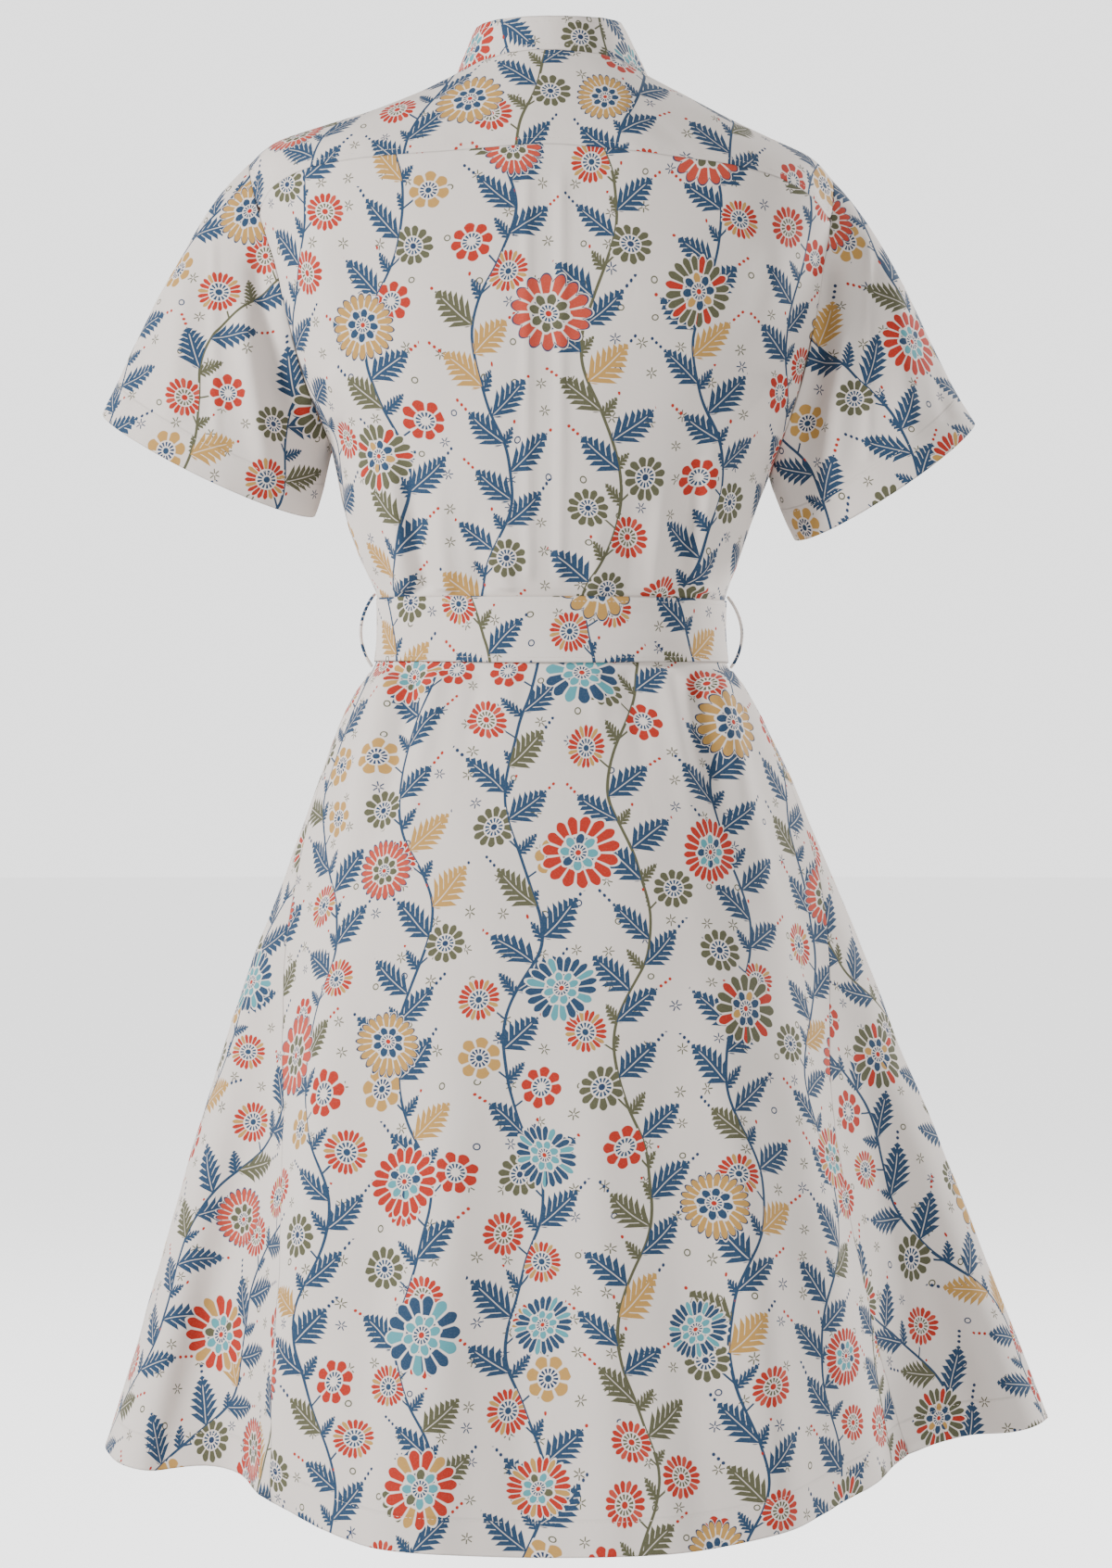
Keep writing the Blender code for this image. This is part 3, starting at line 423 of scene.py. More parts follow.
class ShaderGroup:
    """A shader effect with named inputs and outputs, built once and placed in materials."""

    name = ""
    inputs: dict[str, str] = {}
    outputs: dict[str, str] = {}

    def __init__(self) -> None:
        """Make the group's tree and draw it."""
        self.tree = bpy.data.node_groups.new(self.name, "ShaderNodeTree")
        for way, sockets in (("INPUT", self.inputs), ("OUTPUT", self.outputs)):
            for label, kind in sockets.items():
                self.tree.interface.new_socket(label, in_out=way, socket_type=f"NodeSocket{kind}")
        self.graph = Graph(self.tree)
        source = self.tree.nodes.new("NodeGroupInput")
        sink = self.tree.nodes.new("NodeGroupOutput")
        given = {label: Wire(self.tree, source.outputs[label]) for label in self.inputs}
        for label, wire in self.draw(given).items():
            self.tree.links.new(wire.socket, sink.inputs[label])

    def draw(self, given: dict[str, Wire]) -> dict[str, Wire]:
        """Add the effect's nodes between its inputs and its outputs."""
        raise NotImplementedError

    def place(self, graph: Graph, inputs: dict[str, object]) -> dict[str, Wire]:
        """Place the group in a graph.

        Args:
            graph: The graph of a material or of another group.
            inputs: Values or wires for the group's inputs.

        Returns:
            Its outputs by name.
        """
        node = graph.tree.nodes.new("ShaderNodeGroup")
        node.node_tree = self.tree
        for label, value in inputs.items():
            if isinstance(value, Wire):
                graph.tree.links.new(value.socket, node.inputs[label])
            else:
                node.inputs[label].default_value = (*value, 1.0) if isinstance(value, tuple) else value
        return {label: Wire(graph.tree, node.outputs[label]) for label in self.outputs}


class FlowerMotif(ShaderGroup):
    """A round flower seen from above: a ring of petals, a ring of dashes and a heart."""

    name = "flower_motif"
    inputs = {"Across": "Float", "Along": "Float", "Radius": "Float", "Petals": "Float",
              "Turn": "Float", "Point": "Float", "Rim": "Float", "Petal Colour": "Color",
              "Accent": "Color", "Dashes": "Color", "Heart": "Color"}
    outputs = {"Colour": "Color", "Mask": "Float"}
    halo = 1.6               # millimetres of bare ground kept round the petals
    petal_root = 0.50        # where the petals start, as a share of the radius
    petal_gap = 0.80         # the share of a petal's turn that it fills
    dash_count = 13
    dash_share = 0.28        # half of the share of its turn that a dash fills
    dash_ring = (0.22, 0.43)     # where the dashes start and end, as shares of the radius
    heart_size = 0.15
    accent_step = 0.37       # petals take the accent where steps of this size, less their
    accent_share = 0.26      # whole part, are under this

    def draw(self, given: dict[str, Wire]) -> dict[str, Wire]:
        """Draw the flower in polar terms round its middle.

        Args:
            given: The group's inputs, with lengths in millimetres.

        Returns:
            The flower's colour, and the mask of the flower and its halo.
        """
        graph = self.graph
        across, along, radius = given["Across"], given["Along"], given["Radius"]
        out = (across * across + along * along).math("SQRT")
        turn = across.math("ARCTAN2", along) / (2.0 * math.pi) + given["Turn"]
        petal = turn * given["Petals"]
        lobe = (petal.part() - 0.5).size() * 2.0
        edge = radius * ((lobe * lobe * given["Point"]) * -1.0 + 1.0)
        whole = (out - edge).inside()
        gap = ((lobe - self.petal_gap) * (out / radius)).inside(0.10)
        petals = whole * gap * (radius * self.petal_root - out).inside()
        accent = (petal.whole() * self.accent_step).part().below(self.accent_share)
        dash = ((turn * self.dash_count).part() - 0.5).size().below(self.dash_share)
        start, end = self.dash_ring
        dashes = dash * (radius * start - out).inside() * (out - radius * end).inside()
        heart = (out - radius * self.heart_size).inside()
        petal_colour = graph.mix(accent, given["Petal Colour"], given["Accent"])
        rim = ((out - edge - 0.2).size() - 0.55).inside() * given["Rim"]
        colour = graph.mix(petals, GROUND, petal_colour)
        colour = graph.mix(dashes.math("MAXIMUM", rim), colour, given["Dashes"])
        colour = graph.mix(heart, colour, given["Heart"])
        return {"Colour": colour, "Mask": (out - edge - self.halo).inside()}


class LeafMotif(ShaderGroup):
    """A long leaf with a notched edge and a pale midrib, and dots past its tip."""

    name = "leaf_motif"
    inputs = {"Along": "Float", "Across": "Float", "Length": "Float", "Width": "Float",
              "Notch": "Float"}
    outputs = {"Mask": "Float", "Rib": "Float", "Dots": "Float"}
    dot_pitch = 4.0          # millimetres between the dots past its tip
    dot_count = 3.0
    dot_size = 1.15
    notch_slope = 1.15       # how far back along the leaf a notch runs as it nears the midrib
    notch_depth = 0.62       # as a share of half the leaf's width

    def draw(self, given: dict[str, Wire]) -> dict[str, Wire]:
        """Draw the leaf in millimetres along and across its midrib.

        Args:
            given: The group's inputs.

        Returns:
            The masks of the leaf, its midrib and its dots.
        """
        along, across, length = given["Along"], given["Across"].size(), given["Length"]
        share = (along / length).math("MAXIMUM", 0.0).math("MINIMUM", 1.0)
        belly = (share.math("POWER", 0.80) * math.pi).wave()
        half = given["Width"] * belly.math("POWER", 0.70)
        saw = ((along - across * self.notch_slope) / given["Notch"]).part()
        edge = half * (saw * -self.notch_depth + 1.18)
        leaf = (across - edge).inside() * (along * -1.0).inside() * (along - length).inside()
        slit = ((saw - 0.86) * -1.0).inside(0.10) * (half * 0.24 - across).inside()
        rib = (across - 0.30).inside() * (share - 0.80).inside(0.05) * (share * -1.0 + 0.06).inside(0.05)
        past = along - length - 1.0
        dot = ((past / self.dot_pitch).part() - 0.5) * self.dot_pitch
        dots = ((dot * dot + across * across).math("SQRT") - self.dot_size).inside()
        dots = dots * (past * -1.0).inside() * (past - self.dot_count * self.dot_pitch).inside()
        return {"Mask": leaf * slit.inverted(), "Rib": rib * leaf, "Dots": dots}


class TrailingPrint(ShaderGroup):
    """An all-over print of wandering vines that bear leaves and flowers on both sides.

    The vines run in lanes.  Each has a slot every so far on either side, and a random number
    for the slot says whether a leaf or a flower grows there, and of which colours.
    """

    name = "trailing_print"
    inputs = {"Vector": "Vector"}
    outputs = {"Colour": "Color"}
    lane = 74.0              # millimetres between vines
    sway = 13.0              # how far a vine wanders to each side
    sway_length = 187.0
    slot = 39.0              # between growths on one side of a vine
    slot_root = 0.14         # where in its slot a growth leaves the vine
    lane_drop = 21.0         # how far each lane is shifted along from the last
    lean = math.radians(50)  # between a growth and its vine
    bloom_out = 22.5         # from the vine to the middle of a flower
    sprig_aside = -17.5      # from the axis of a growth to that of the small leaf beside it
    sprig_root = 14.0        # how far back along that axis the small leaf's stalk begins
    sprig_stalk = 6.0
    large_cell = 112.0       # between large blooms
    speck_cell = 23.0        # between small stars and rings
    star_arms = 6.0
    star_size = 3.9
    ring_size = 1.9
    star_share = 0.55        # the share of places that have a star
    speck_share = 0.72       # and that have a star or a ring
    leaf_share = 0.66        # the share of growths that are leaves, not flowers

    def __init__(self, flower: FlowerMotif, leaf: LeafMotif) -> None:
        """Take the two motifs that the print is made of.

        Args:
            flower: Its flower.
            leaf: Its leaf.
        """
        self.flower = flower
        self.leaf = leaf
        super().__init__()

    def draw(self, given: dict[str, Wire]) -> dict[str, Wire]:
        """Draw the print from its lowest layer to its highest.

        Args:
            given: The place on the cloth, in metres.

        Returns:
            The colour of the print.
        """
        graph = self.graph
        loose = graph.wire("TexNoise", "Color", {"Vector": given["Vector"], "Scale": 13.0, "Detail": 1.0})
        shaken = graph.wire("VectorMath", 0, {0: loose, 1: (0.5, 0.5, 0.5)}, operation="SUBTRACT")
        shaken = graph.wire("VectorMath", 0, {0: shaken, 1: (0.016, 0.016, 0.0)}, operation="MULTIPLY")
        place = graph.wire("VectorMath", 0, {0: given["Vector"], 1: shaken}, operation="ADD")
        u, v = (axis / MILLIMETRE for axis in graph.axes(place))
        colour = self.specks(u, v)
        colour = self.vines(u, v, colour)
        colour = self.blooms(u, v, colour)
        worn = graph.wire("TexNoise", 0, {"Vector": given["Vector"], "Scale": 900.0, "Detail": 2.0})
        wear = ((worn - 0.45) * 0.12).math("ADD", 0.0, clamp=True)
        return {"Colour": graph.mix(wear, colour, GROUND)}

    def wander(self, v: Wire) -> Wire:
        """How far a vine has wandered to the side at v."""
        return (v * (2.0 * math.pi / self.sway_length)).wave() * self.sway

    def cells(self, u: Wire, v: Wire, size: float, loose: float) -> tuple[Wire, Wire, Wire]:
        """Scatter points evenly.

        Args:
            u: Millimetres across the cloth.
            v: Millimetres along it.
            size: The usual distance between points.
            loose: How uneven they are, from 0 to 1.

        Returns:
            The distance across and along from the nearest point, and its random colour.
        """
        graph = self.graph
        where = graph.vector(u / size, v / size)
        node = graph.node("TexVoronoi", {"Vector": where, "Scale": 1.0, "Randomness": loose},
                          voronoi_dimensions="2D")
        middle = graph.axes(Wire(self.tree, node.outputs["Position"]))
        lots = Wire(self.tree, node.outputs["Color"])
        return u - middle[0] * size, v - middle[1] * size, lots

    def specks(self, u: Wire, v: Wire) -> Wire:
        """Draw small stars and rings on the bare ground.

        Args:
            u: Millimetres across the cloth.
            v: Millimetres along it.

        Returns:
            The colour of the ground with the stars and rings.
        """
        graph = self.graph
        across, along, lots = self.cells(u, v, self.speck_cell, 0.55)
        lot, other = graph.axes(lots)
        out = (across * across + along * along).math("SQRT")
        turn = across.math("ARCTAN2", along) / (2.0 * math.pi) + other
        arm = ((turn * self.star_arms).part() - 0.5) * (2.0 * math.pi / self.star_arms)
        star = ((arm.wave() * out).size() - 0.42).inside() * (out - self.star_size).inside()
        star = star * (out * -1.0 + 0.8).inside()
        ring = ((out - self.ring_size).size() - 0.45).inside()
        star = star * lot.below(self.star_share)
        ring = ring * (lot.below(self.speck_share) - lot.below(self.star_share))
        inked = graph.choose(other, (OLIVE, OLIVE, OLIVE, DEEP_BLUE))
        return graph.mix(star + ring, GROUND, inked)

    def vines(self, u: Wire, v: Wire, under: Wire) -> Wire:
        """Draw the vines and what grows on them.

        Args:
            u: Millimetres across the cloth.
            v: Millimetres along it.
            under: The colour beneath.

        Returns:
            The colour with the vines over it.
        """
        graph = self.graph
        straight = u - self.wander(v)
        lane = (straight / self.lane + 0.5).whole()
        aside = straight - lane * self.lane
        side = aside.math("SIGN")
        shifted = v + lane * self.lane_drop + side * (self.slot / 4.0)
        count = (shifted / self.slot).whole()
        up = shifted - (count + self.slot_root) * self.slot
        away = (u - lane * self.lane - self.wander(v - up)) * side
        dice = graph.node("TexWhiteNoise", {"Vector": graph.vector(lane, count, side)},
                          noise_dimensions="3D")
        kind = Wire(self.tree, dice.outputs["Value"])
        lot, other = graph.axes(Wire(self.tree, dice.outputs["Color"]))
        along = away * math.sin(self.lean) + up * math.cos(self.lean)
        across = away * math.cos(self.lean) - up * math.sin(self.lean)
        leafy = kind.below(self.leaf_share)
        vine = (aside.size() * 0.94 - 1.0).inside()
        stem_colour = graph.choose((lane * 0.618).part(), (BLUE, OLIVE, BLUE, BLUE))
        colour = graph.mix(vine, under, stem_colour)
        colour = self.sprig(along, across, lot, stem_colour, colour)
        bent = across + along * along * (lot * 0.006 - 0.001)
        leaf = self.leaf.place(graph, {"Along": along, "Across": bent, "Length": lot * 7.0 + 32.0,
                                       "Width": other * 2.0 + 8.2, "Notch": 5.3})
        leaf_colour = graph.choose(other, (BLUE, BLUE, BLUE, BLUE, BLUE, BLUE, OLIVE, BLUE, BLUE, MUSTARD))
        stalk_reach = leafy * -20.0 + self.bloom_out
        stalk = (bent.size() - 0.65).inside() * (along * -1.0).inside() * (along - stalk_reach).inside()
        colour = graph.mix(stalk, colour, stem_colour)
        colour = graph.mix(leaf["Mask"] * leafy, colour, leaf_colour)
        colour = graph.mix(leaf["Rib"] * leafy * 0.8, colour, GROUND)
        dotted = leaf["Dots"] * leafy * lot.below(0.7)
        colour = graph.mix(dotted, colour, graph.choose(lot, (VERMILION, DEEP_BLUE, VERMILION)))
        petals = graph.wire("MapRange", 0, {0: graph.choose(other, self.petal_steps()), 3: 0.0, 4: 30.0})
        bloom = self.flower.place(graph, {
            "Across": across, "Along": along - self.bloom_out, "Radius": lot * 3.0 + 11.5,
            "Petals": petals.math("ROUND"), "Turn": lot, "Point": 0.24, "Rim": 0.0,
            "Petal Colour": graph.choose(other, (VERMILION, VERMILION, MUSTARD, VERMILION, OLIVE)),
            "Accent": graph.choose(other, (VERMILION, MUSTARD, MUSTARD, CORAL, OLIVE)),
            "Dashes": graph.choose(other, (BLUE, BLUE, DEEP_BLUE, OLIVE, BLUE)),
            "Heart": graph.choose(other, (GROUND, BLUE, BLUE, VERMILION, DEEP_BLUE))})
        return graph.mix(bloom["Mask"] * leafy.inverted(), colour, bloom["Colour"])

    def sprig(self, along: Wire, across: Wire, lot: Wire, ink: Wire, under: Wire) -> Wire:
        """Draw the small leaf on a curved stalk that grows beside each larger growth.

        Args:
            along: Millimetres along the growth.
            across: Millimetres across it.
            lot: Its random number.
            ink: The colour of its stalk.
            under: The colour beneath.

        Returns:
            The colour with the small leaf over it.
        """
        graph = self.graph
        aside = across - self.sprig_aside + along * along * (lot * -0.010 + 0.014)
        stalk = (aside.size() - 0.5).inside() * (along + self.sprig_root).math("MULTIPLY", -1.0).inside()
        stalk = stalk * (along - self.sprig_stalk).inside()
        leaf = self.leaf.place(graph, {"Along": along - self.sprig_stalk + 2.0, "Across": aside,
                                       "Length": lot * 7.0 + 14.0, "Width": 4.2, "Notch": 3.1})
        colour = graph.mix(stalk.math("MAXIMUM", leaf["Mask"]), under, ink)
        return graph.mix(leaf["Dots"] * lot.below(0.5), colour, VERMILION)

    @staticmethod
    def petal_steps() -> list[Colour]:
        """How many petals each kind of small flower has, as shares of 30."""
        return [(count / 30.0,) * 3 for count in (8, 21, 7, 17, 12)]

    def blooms(self, u: Wire, v: Wire, under: Wire) -> Wire:
        """Draw large double flowers over the vines.

        Args:
            u: Millimetres across the cloth.
            v: Millimetres along it.
            under: The colour beneath.

        Returns:
            The colour with the flowers over it.
        """
        graph = self.graph
        across, along, lots = self.cells(u, v, self.large_cell, 0.45)
        lot, other = graph.axes(lots)
        outer = self.flower.place(graph, {
            "Across": across, "Along": along, "Radius": lot * 9.0 + 18.5,
            "Petals": graph.wire("MapRange", 0, {0: lot, 3: 27.0, 4: 12.0}).math("ROUND"),
            "Turn": other, "Point": 0.22, "Rim": other.below(0.35),
            "Petal Colour": graph.choose(other, (MUSTARD, CORAL, VERMILION, OLIVE, BLUE, VERMILION)),
            "Accent": graph.choose(other, (MUSTARD, CORAL, VERMILION, VERMILION, TURQUOISE, MUSTARD)),
            "Dashes": DEEP_BLUE, "Heart": OLIVE})
        inner = self.flower.place(graph, {
            "Across": across, "Along": along, "Radius": lot * 4.6 + 9.2, "Petals": 8.0, "Turn": lot,
            "Point": 0.42, "Rim": 0.0,
            "Petal Colour": graph.choose(other, (BLUE, OLIVE, TURQUOISE, BLUE, TURQUOISE, TURQUOISE)),
            "Accent": graph.choose(other, (BLUE, OLIVE, BLUE, MUSTARD, TURQUOISE, OLIVE)),
            "Dashes": BLUE, "Heart": VERMILION})
        shown = lot.below(0.90)
        colour = graph.mix(outer["Mask"] * shown, under, outer["Colour"])
        return graph.mix(inner["Mask"] * shown, colour, inner["Colour"])


class CottonSurface(ShaderGroup):
    """The relief of plain-woven cotton: its threads, light crumpling and the step of a hem, with painted
    shade in the hollows between threads, in the seams and along the hem's fold.
    """

    name = "cotton_surface"
    inputs = {"Map": "Vector", "Place": "Vector", "Hem": "Float", "Edge": "Float"}
    outputs = {"Height": "Float", "Shade": "Float"}
    thread = 0.00042         # between threads
    thread_relief = 0.000010
    crumple_relief = 0.00060
    hem_fold = 0.024         # the depth of the turned hem
    hem_relief = 0.00030
    edge_roll = 0.0014       # how far in from an edge the cloth rolls down to its seam
    edge_relief = 0.00050
    painted_seam_shade = 0.30        # how much painted shade darkens the cloth where it rolls into the seam

    def draw(self, given: dict[str, Wire]) -> dict[str, Wire]:
        """Add up the heights, and paint shade into the hollows between threads, the seams and the hem's fold.

        Args:
            given: The group's inputs, all in metres.

        Returns:
            The height of the surface, and the painted shade that darkens its thread hollows, seams and hem
            fold.
        """
        graph = self.graph
        u, v = (axis / self.thread for axis in graph.axes(given["Map"]))
        over = ((u.whole() + v.whole()) * 0.5).part() * 2.0
        warp = (u * math.pi).wave().size()
        weft = (v * math.pi).wave().size()
        threads = over * warp + over.inverted() * weft
        crumple = graph.wire("TexNoise", 0, {"Vector": given["Place"], "Scale": 24.0, "Detail": 4.0,
                                             "Roughness": 0.55, "Distortion": 0.8})
        hem = (given["Hem"] - self.hem_fold).inside(0.0012)
        # The roll into a seam sinks the relief and also darkens the colour as painted shade.
        roll = (given["Edge"] / self.edge_roll).math("MINIMUM", 1.0).inverted()
        roll = roll * roll
        # Painted shade: a darker line along the fold of the turned hem.
        fold = ((given["Hem"] - self.hem_fold).size() - 0.0006).inside(0.0012)
        height = threads * self.thread_relief + crumple * self.crumple_relief + hem * self.hem_relief
        height = height - roll * self.edge_relief
        # Painted shade, multiplied into the colour: darker hollows between threads, seams and hem fold.
        shade = (threads * 0.06 + 0.95) * (roll * -self.painted_seam_shade + 1.0) * (fold * -0.10 + 1.0)
        return {"Height": height, "Shade": shade}


# --------------------------------------------------------------------------- finishes


@dataclass(frozen=True)
class PrintedCotton:
    """Cotton with the trailing print, on its face or its paler reverse."""

    name: str
    fade: float              # how far the print sinks into the ground colour
    roughness: float = 0.84
    sheen: float = 0.06

    def build(self, pattern: TrailingPrint, surface: CottonSurface) -> bpy.types.Material:
        """Make the material.

        Args:
            pattern: The print.
            surface: The relief of the cloth.

        Returns:
            The material, which reads the print map and the hem attribute of its piece.
        """
        material = bpy.data.materials.new(self.name)
        material.use_nodes = True
        graph = Graph(material.node_tree)
        place = graph.wire("UVMap", 0, uv_map=PRINT_MAP)
        printed = pattern.place(graph, {"Vector": place})["Colour"]
        faded = graph.mix(self.fade, printed, GROUND)
        room = graph.wire("TexCoord", "Object")
        hem = graph.wire("Attribute", "Fac", attribute_name=HEM_DEPTH)
        edge = graph.wire("Attribute", "Fac", attribute_name=EDGE_DEPTH)
        relief = surface.place(graph, {"Map": place, "Place": room, "Hem": hem, "Edge": edge})
        # The painted shade of the thread hollows, seams and hem fold darkens the print's colour here.
        shaded = graph.wire("Mix", 2, {0: 1.0, 6: faded, 7: relief["Shade"]}, data_type="RGBA",
                            blend_type="MULTIPLY")
        bump = graph.wire("Bump", 0, {"Height": relief["Height"], "Distance": 1.0, "Strength": 1.0})
        cloth = material.node_tree.nodes["Principled BSDF"]
        cloth.inputs["Roughness"].default_value = self.roughness
        cloth.inputs["Sheen Weight"].default_value = self.sheen
        cloth.inputs["Sheen Roughness"].default_value = 0.5
        cloth.inputs["Specular IOR Level"].default_value = 0.30
        material.node_tree.links.new(shaded.socket, cloth.inputs["Base Color"])
        material.node_tree.links.new(bump.socket, cloth.inputs["Normal"])
        return material


@dataclass(frozen=True)
class PlainFinish:
    """A surface of one colour that is a little uneven, such as thread or shell."""

    name: str
    colour: Colour
    other: Colour            # the colour that it is clouded with
    roughness: float
    cloud: float             # the scale of the clouding
    relief: float            # the height of its bump

    def build(self) -> bpy.types.Material:
        """Make the material.

        Returns:
            The material, which follows the place in the room.
        """
        material = bpy.data.materials.new(self.name)
        material.use_nodes = True
        graph = Graph(material.node_tree)
        room = graph.wire("TexCoord", "Object")
        cloud = graph.wire("TexNoise", 0, {"Vector": room, "Scale": self.cloud, "Detail": 3.0,
                                           "Distortion": 1.5})
        colour = graph.mix(cloud, self.colour, self.other)
        bump = graph.wire("Bump", 0, {"Height": cloud * self.relief, "Distance": 1.0})
        surface = material.node_tree.nodes["Principled BSDF"]
        surface.inputs["Roughness"].default_value = self.roughness
        material.node_tree.links.new(colour.socket, surface.inputs["Base Color"])
        material.node_tree.links.new(bump.socket, surface.inputs["Normal"])
        return material


@dataclass(frozen=True)
class Wardrobe:
    """The finished materials of the dress."""

    face: bpy.types.Material
    reverse: bpy.types.Material
    thread: bpy.types.Material
    shell: bpy.types.Material

    @classmethod
    def stocked(cls) -> "Wardrobe":
        """Make every material of the dress.

        Returns:
            The materials.
        """
        pattern = TrailingPrint(FlowerMotif(), LeafMotif())
        surface = CottonSurface()
        return cls(
            PrintedCotton("cotton_face", fade=0.0).build(pattern, surface),
            PrintedCotton("cotton_reverse", fade=0.55).build(pattern, surface),
            PlainFinish("sewing_thread", THREAD, GROUND, 0.70, 900.0, 0.00002).build(),
            PlainFinish("shell", SHELL, (0.600, 0.510, 0.400), 0.25, 260.0, 0.00002).build())


# --------------------------------------------------------------------------- cloth pieces


class Edge(Enum):
    """Which edges of a piece a row of stitches follows."""

    LOW = "low"
    LONG = "long"
    ALL = "all"


class StitchRow(NamedTuple):
    """A row of stitches at an even distance inside an edge."""

    edge: Edge
    inset: float


def select_only(thing: bpy.types.Object) -> None:
    """Select one object and make it active.

    Args:
        thing: The object.
    """
    bpy.ops.object.select_all(action="DESELECT")
    thing.select_set(True)
    bpy.context.view_layer.objects.active = thing


@contextmanager
def editing(thing: bpy.types.Object) -> Iterator[None]:
    """Hold an object in edit mode, with all of its mesh selected.

    Args:
        thing: The object.
    """
    select_only(thing)
    bpy.ops.object.mode_set(mode="EDIT")
    bpy.ops.mesh.select_all(action="SELECT")
    yield
    bpy.ops.object.mode_set(mode="OBJECT")


def add_object(name: str, data: bpy.types.ID) -> bpy.types.Object:
    """Put a mesh, a light or a camera in the scene.

    Args:
        name: The new object's name.
        data: What it shows.

    Returns:
        The object, at the origin.
    """
    made = bpy.data.objects.new(name, data)
    bpy.context.collection.objects.link(made)
    return made


def new_print_map(mesh: bpy.types.Mesh) -> bpy.types.MeshUVLoopLayer:
    """Give a mesh an empty print map in place of any it has.

    Args:
        mesh: The mesh of a cloth piece.

    Returns:
        The new map.
    """
    while mesh.uv_layers:
        mesh.uv_layers.remove(mesh.uv_layers[0])
    return mesh.uv_layers.new(name=PRINT_MAP)


def copied_solid(node: str) -> bpy.types.Object:
    """Copy a solid of the dress, with no material, to make its cloth from.

    Args:
        node: The solid's node.

    Returns:
        The copy, named for the node.
    """
    copy = add_object(f"cloth_{node}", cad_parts[node].data.copy())
    copy.data.materials.clear()
    return copy


def apply_modifier(thing: bpy.types.Object, kind: str, **settings: object) -> None:
    """Put a modifier on an object and apply it.

    Args:
        thing: The object.
        kind: The modifier's type.
        settings: Values for its properties.
    """
    modifier = thing.modifiers.new(kind.lower(), kind)
    for name, value in settings.items():
        setattr(modifier, name, value)
    select_only(thing)
    bpy.ops.object.modifier_apply(modifier=modifier.name)


def rides(piece: bpy.types.Object, nodes: Sequence[str] = ()) -> bpy.types.Object:
    """Fasten a piece to the dress and in place of some solids.

    Args:
        piece: The piece.
        nodes: The solids that it stands for, if any.

    Returns:
        The same piece.
    """
    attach(piece, BODY)
    if nodes:
        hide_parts(*nodes)
    return piece


def vertex_array(mesh: bpy.types.Mesh, name: str = "co") -> np.ndarray:
    """The places, or the normals, of a mesh's vertices as rows.

    Args:
        mesh: The mesh.
        name: The vertex property to read.

    Returns:
        One row for each vertex.
    """
    values = np.zeros(len(mesh.vertices) * 3, np.float32)
    mesh.vertices.foreach_get(name, values)
    return values.reshape(-1, 3).astype(float)


def store(mesh: bpy.types.Mesh, name: str, values: np.ndarray) -> None:
    """Keep one number for each vertex, where a material can read it."""
    mesh.attributes.new(name, "FLOAT", "POINT").data.foreach_set("value", values.astype(np.float32))


def distances(mesh: bpy.types.Mesh, targets: Sequence[Vector]) -> np.ndarray:
    """How far each vertex is from the nearest of some points.

    Args:
        mesh: The mesh.
        targets: The points.

    Returns:
        One distance for each vertex.
    """
    tree = KDTree(len(targets))
    for index, point in enumerate(targets):
        tree.insert(point, index)
    tree.balance()
    return np.array([tree.find(vertex.co)[2] for vertex in mesh.vertices])


def edge_loops(mesh: bpy.types.Mesh) -> list[list[int]]:
    """The open edges of a sheet, as closed rings of vertex numbers.

    Args:
        mesh: The sheet.

    Returns:
        The rings, each in order round its edge.
    """
    used = np.zeros(len(mesh.edges), int)
    for polygon in mesh.polygons:
        for loop in polygon.loop_indices:
            used[mesh.loops[loop].edge_index] += 1
    near: dict[int, list[int]] = {}
    for edge in mesh.edges:
        if used[edge.index] == 1:
            first, last = edge.vertices
            near.setdefault(first, []).append(last)
            near.setdefault(last, []).append(first)
    loops = []
    while near:
        start = min(near)
        ring = [start]
        step = near.pop(start)[0]
        while step != start:
            ring.append(step)
            step = next((other for other in near.pop(step) if other in near), start)
        loops.append(ring)
    return loops


def edge_runs(mesh: bpy.types.Mesh, reach: int = 3, corner: float = math.radians(48)) -> list[list[Vector]]:
    """The open edges of a sheet, parted at its corners.

    Args:
        mesh: The sheet.
        reach: How many vertices on each side of a place show which way the edge runs there.
        corner: The turn at which an edge ends and the next begins.

    Returns:
        The points of each run; a round edge with no corner is one run that closes on itself.
    """
    runs = []
    for ring in edge_loops(mesh):
        points = [mesh.vertices[index].co.copy() for index in ring]
        count = len(points)
        turns = [(points[i] - points[i - reach]).angle(points[(i + reach) % count] - points[i], 0.0)
                 for i in range(count)]
        corners = [i for i in range(count) if turns[i] > corner
                   and turns[i] == max(turns[(i + k) % count] for k in range(-reach, reach + 1))]
        if not corners:
            runs.append(points + points[:1])
            continue
        for first, last in zip(corners, corners[1:] + [corners[0] + count]):
            if last - first > 2 * reach:
                runs.append([points[i % count] for i in range(first, last + 1)])
    return runs


def lowest(runs: list[list[Vector]]) -> list[Vector]:
    """The run of points that lies lowest."""
    return min(runs, key=lambda run: sum(point.z for point in run) / len(run))


